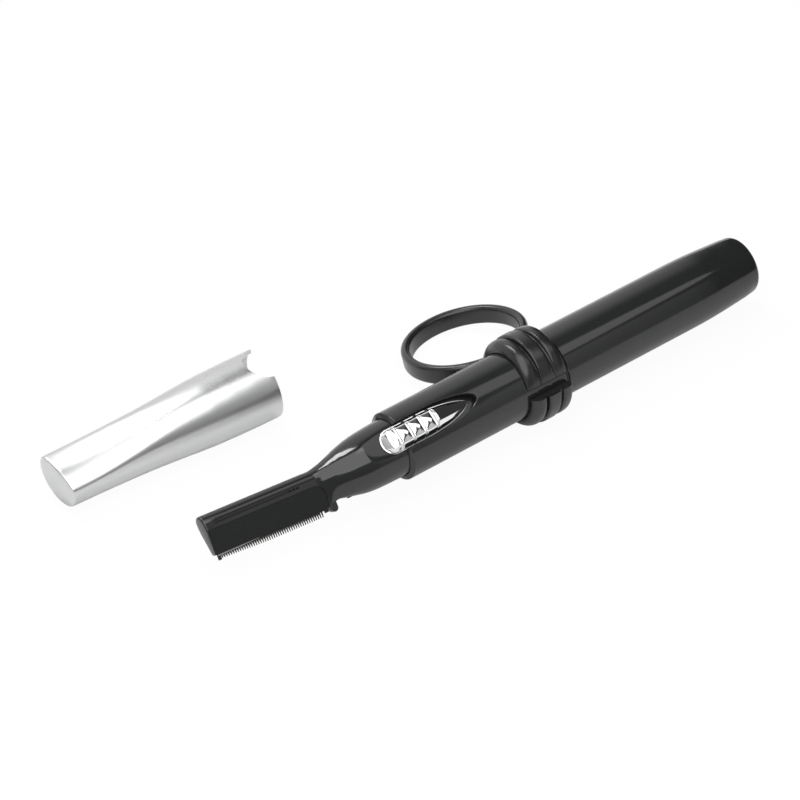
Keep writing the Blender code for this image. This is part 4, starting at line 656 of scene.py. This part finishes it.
# Comb: the ground steel teeth carry a painted dark reflection, coloured near black, and stand out below the cover; a
# bright rolled edge shows above the front ones.
# A small black latch holds the comb from behind, and a lug sits under the neck beside it.
steel = surface("ground_steel", (0.52, 0.52, 0.53), 0.26, metallic=1.0, spread=0.06, grain=2200, relief=0.002)
latch_middle, latch_foot, latch_round = 28.25, -4.3, 0.8
latch_top, latch_half = -2.6, 0.95
latch_outline = [(latch_middle - latch_round, latch_top), (latch_middle - latch_round, latch_foot)]
for step in range(1, 12):
    turn = math.pi * step / 12
    latch_outline.append((latch_middle - latch_round * math.cos(turn), latch_foot - latch_round * math.sin(turn)))
latch_outline += [(latch_middle + latch_round, latch_foot), (latch_middle + latch_round, latch_top)]
latch = plate(latch_outline, -latch_half, latch_half, head_place)
moulding("latch", latch, "body", ["comb_latch"], gloss_black, edge=0.2)
lug = block((31.7, -0.45, -5.1), (33.3, 0.45, -4.3), neck_side)
moulding("neck_lug", lug, "body", [], gloss_black, edge=0.15)
lip_outline = [(0.9, -5.19), (1.0, -5.42), (6.5, -5.39), (10.5, -5.23), (10.5, -5.15), (0.9, -5.15)]
lip = plate(lip_outline, -0.08, 0.1, cover_place)
moulding("comb_edge", lip, "body", [], steel, edge=0.04)
# Painted dark reflection: the steel teeth are coloured near black in place of their own bright steel.
painted_dark_teeth = surface("comb_steel_painted_dark", (0.018, 0.0175, 0.016), 0.5, 0.2, spread=0.06, grain=2200, relief=0.002)
tooth_count, tooth_pitch, first_tooth, tooth_root, tooth_tip = 46, 0.52, 1.96, -4.05, -4.72
teeth = bmesh.new()
for index in range(tooth_count):
    middle, tip = first_tooth + tooth_pitch * index, tooth_tip - (0.1 + 0.4 * min(index / 20, 1))
    tooth_outline = [(-0.15, tooth_root), (-0.04, tip), (0.04, tip), (0.15, tooth_root)]
    tooth = plate([(middle + side, height) for side, height in tooth_outline], -0.46, -0.16, head_place)
    data = bpy.data.meshes.new("tooth")
    tooth.to_mesh(data)
    tooth.free()
    teeth.from_mesh(data)
    bpy.data.meshes.remove(data)
moulding("comb_teeth", teeth, "body", [], painted_dark_teeth)

# Cap: a hollow plastic moulding in satin silver metallic lacquer.
# Its upper side is planed off towards the closed end, and a round notch clears the switch.
cap_length, cap_mouth, cap_end, cap_wall, end_round = 50.4, 7.78, 6.04, 0.95, 0.4
flat_radius, flat_rise, flat_soft, flat_lean, flat_fade = 14.6, 3.74, 0.3, math.radians(10), 0.88
end_slant, notch_half, notch_depth = math.tan(math.radians(7)), 4.7, 4.3
tilt, yaw = math.asin((cap_mouth - cap_end) / cap_length), math.radians(-3.75)
mouth = Vector((38.4, 36.0, cap_mouth / math.cos(tilt) - 10.05))
along = Vector((math.cos(yaw) * math.cos(tilt), math.sin(yaw) * math.cos(tilt), math.sin(tilt)))
turned = Matrix.Rotation(yaw, 4, "Z") @ Matrix.Rotation(-tilt, 4, "Y") @ Matrix.Rotation(math.radians(6), 4, "X")
cap_place = pen @ Matrix.Translation(mouth - along * cap_length) @ turned
widening = (
    (0.00, 0.00), (0.12, 0.03), (0.22, 0.08), (0.32, 0.16), (0.42, 0.28), (0.49, 0.42), (0.56, 0.57),
    (0.63, 0.73), (0.70, 0.87), (0.80, 0.96), (0.90, 1.00), (1.00, 1.00),
)
silver = surface(
    "silver_lacquer", (0.56, 0.563, 0.566), 0.28, metallic=0.85, spread=0.03, grain=5200, relief=0.004, tint=0.12,
)


def cap_ring(station, inset):
    """Section of the cap: a circle cut by a bowed flat that fades out towards the mouth."""
    share = min(max(station / cap_length, 0), 1)
    outer = cap_end + (cap_mouth - cap_end) * between(widening, share)
    fade = min(share / flat_fade, 1)
    fade = fade * fade * (3 - 2 * fade)
    centre = flat_rise + (outer + 1.6 - flat_rise) * fade - inset - flat_radius
    ring = []
    for index in range(144):
        angle = math.tau * index / 144
        lean = angle + flat_lean
        flat = centre * math.cos(lean) + math.sqrt(flat_radius ** 2 - (centre * math.sin(lean)) ** 2)
        low, high = sorted((outer - inset, flat))
        reach = low - flat_soft * math.log1p(math.exp((low - high) / flat_soft))
        across = reach * math.sin(angle)
        slant = max(cap_end - across, 0) * end_slant * max(1 - 4 * share, 0)
        ring.append((station + slant, across, reach * math.cos(angle)))
    return ring


rings = []
for step in range(5, -1, -1):
    turn = step / 5 * math.pi / 2
    rings.append(cap_ring(end_round * (1 - math.sin(turn)), end_round * (1 - math.cos(turn))))
rings += [cap_ring(end_round + 50.0 * t / 90, 0) for t in range(1, 90)]
rings += [cap_ring(cap_length, 0.06), cap_ring(cap_length, 0.9)]
rings += [cap_ring(cap_length - 49.2 * t / 30, cap_wall) for t in range(1, 31)]
notch = [(cap_length + 1, notch_half)]
for step in range(41):
    turn = math.pi * step / 40
    notch.append((cap_length - notch_depth * math.sin(turn), notch_half * math.cos(turn)))
notch.append((cap_length + 1, -notch_half))
cap = cut(skin(rings, cap_place), skin([[(x, y, z) for x, y in notch] for z in (0, 9.5)], cap_place))
moulding("cap_shell", cap, "cap", ["cap"], silver, sharp=40, edge=0.08)

# Clip and finger ring: one satin black nylon moulding, sprung round the barrel.
# Three ridges run round the clip, and the thick ring grows out of its side.
satin_black = surface("satin_black", (0.014, 0.014, 0.0145), 0.24, spread=0.06, cloud=120, grain=1800, relief=0.002)
clip_front, clip_length, clip_bore, ridge_rise = 75.4, 9.9, 7.65, 2.36
ring_outer, ring_wall = 13.95, 1.96
ridges = (
    (0.00, 0.20), (0.015, 0.38), (0.06, 0.62), (0.12, 0.80), (0.19, 0.88), (0.26, 0.87), (0.30, 0.80),
    (0.32, 0.58), (0.345, 0.58), (0.365, 0.92), (0.42, 1.00), (0.60, 1.00), (0.655, 0.93),
    (0.685, 0.66), (0.72, 0.66), (0.75, 0.90), (0.81, 0.96), (0.91, 0.93), (0.97, 0.82), (1.00, 0.55),
)
rings = []
start, end, swelling = math.radians(26), math.tau + math.radians(9), math.radians(80)
for index in range(181):
    angle = start + (end - start) * index / 180
    past = min((angle - start) / swelling, 1)
    share = 0.3 + 0.7 * math.sin(past * math.pi / 2)
    ring = [(clip_front, clip_bore)]
    for x, rise in eased(ridges, 3):
        ring.append((clip_front + clip_length * x, clip_bore + ridge_rise * min(max(rise, 0), 1.0) * share))
    ring.append((clip_front + clip_length, clip_bore))
    rings.append([(x, -radius * math.cos(angle), radius * math.sin(angle)) for x, radius in ring])
clip = skin(rings, pen)
ring_side, ring_droop = math.radians(12.4), math.radians(15)
ring_reach = 10.05 + ring_outer - 1.95
ring_place = pen @ Matrix.Translation((
    clip_front + clip_length / 2 + 0.45, ring_reach * math.cos(ring_side), -ring_reach * math.sin(ring_side)
)) @ Matrix.Rotation(math.radians(-1.8), 4, "Y") @ Matrix.Rotation(-ring_droop, 4, "X")
ring_place = ring_place @ Matrix.Rotation(math.pi / 2, 4, "Y")
inner, outer, half, soft = ring_outer - ring_wall, ring_outer, 2.15, 0.9
band = quarter((-half, inner), (-half + soft, inner), (-half, inner + soft))
band += quarter((-half, outer), (-half, outer - soft), (-half + soft, outer))
band += quarter((half, outer), (half - soft, outer), (half, outer - soft))
band += quarter((half, inner), (half, inner + soft), (half - soft, inner))
clip = cut(clip, spun(band + band[:1], ring_place, 144), "UNION")
moulding("clip_and_ring", clip, "ring_clip", ["ring_clip"], satin_black, sharp=50)

# Inner pieces and small parts keep their CAD shapes and get the finish of their record slot.
# Steel is ground, springs are drawn wire, contacts are pressed brass, and the drive is acetal.
spring_steel = surface("spring_wire", (0.56, 0.56, 0.57), 0.22, metallic=1.0, spread=0.05, grain=4000, relief=0.002)
brass = surface("pressed_brass", (0.72, 0.52, 0.22), 0.28, metallic=1.0, spread=0.06, grain=2500, relief=0.002)
acetal = surface("white_acetal", (0.78, 0.78, 0.75), 0.42, spread=0.05, grain=3000, relief=0.002, tint=0.02)
magnet = surface("sintered_magnet", (0.10, 0.10, 0.11), 0.55, spread=0.08, grain=4000, relief=0.006, tint=0.2)
board = surface("board_resin", (0.30, 0.20, 0.10), 0.5, spread=0.05, grain=3000, relief=0.003, tint=0.15)
jacket = surface("cell_jacket", (0.12, 0.16, 0.20), 0.3, metallic=0.4, spread=0.04, grain=1200, relief=0.001)
slot_finish = {
    "gloss_black_plastic": gloss_black, "matt_black_plastic": matt_black, "ground_steel": steel,
    "spring_steel": spring_steel, "brass_strip": brass, "white_acetal": acetal, "sintered_magnet": magnet,
    "switch_board_resin": board, "cell_jacket": jacket, "satin_silver_paint": silver,
    "satin_black_plastic": satin_black, "chrome_plating": chrome, "black_rubber": rubber,
}
for subpart in frame["record"]["subparts"]:
    mesh_data = nodes[subpart["node"]].data
    mesh_data.materials.clear()
    # The comb's and the cutter's teeth take the painted dark reflection in place of bright steel.
    toothed = subpart["node"] in ("comb", "cutter")
    mesh_data.materials.append(painted_dark_teeth if toothed else slot_finish[subpart["material_slot"]])
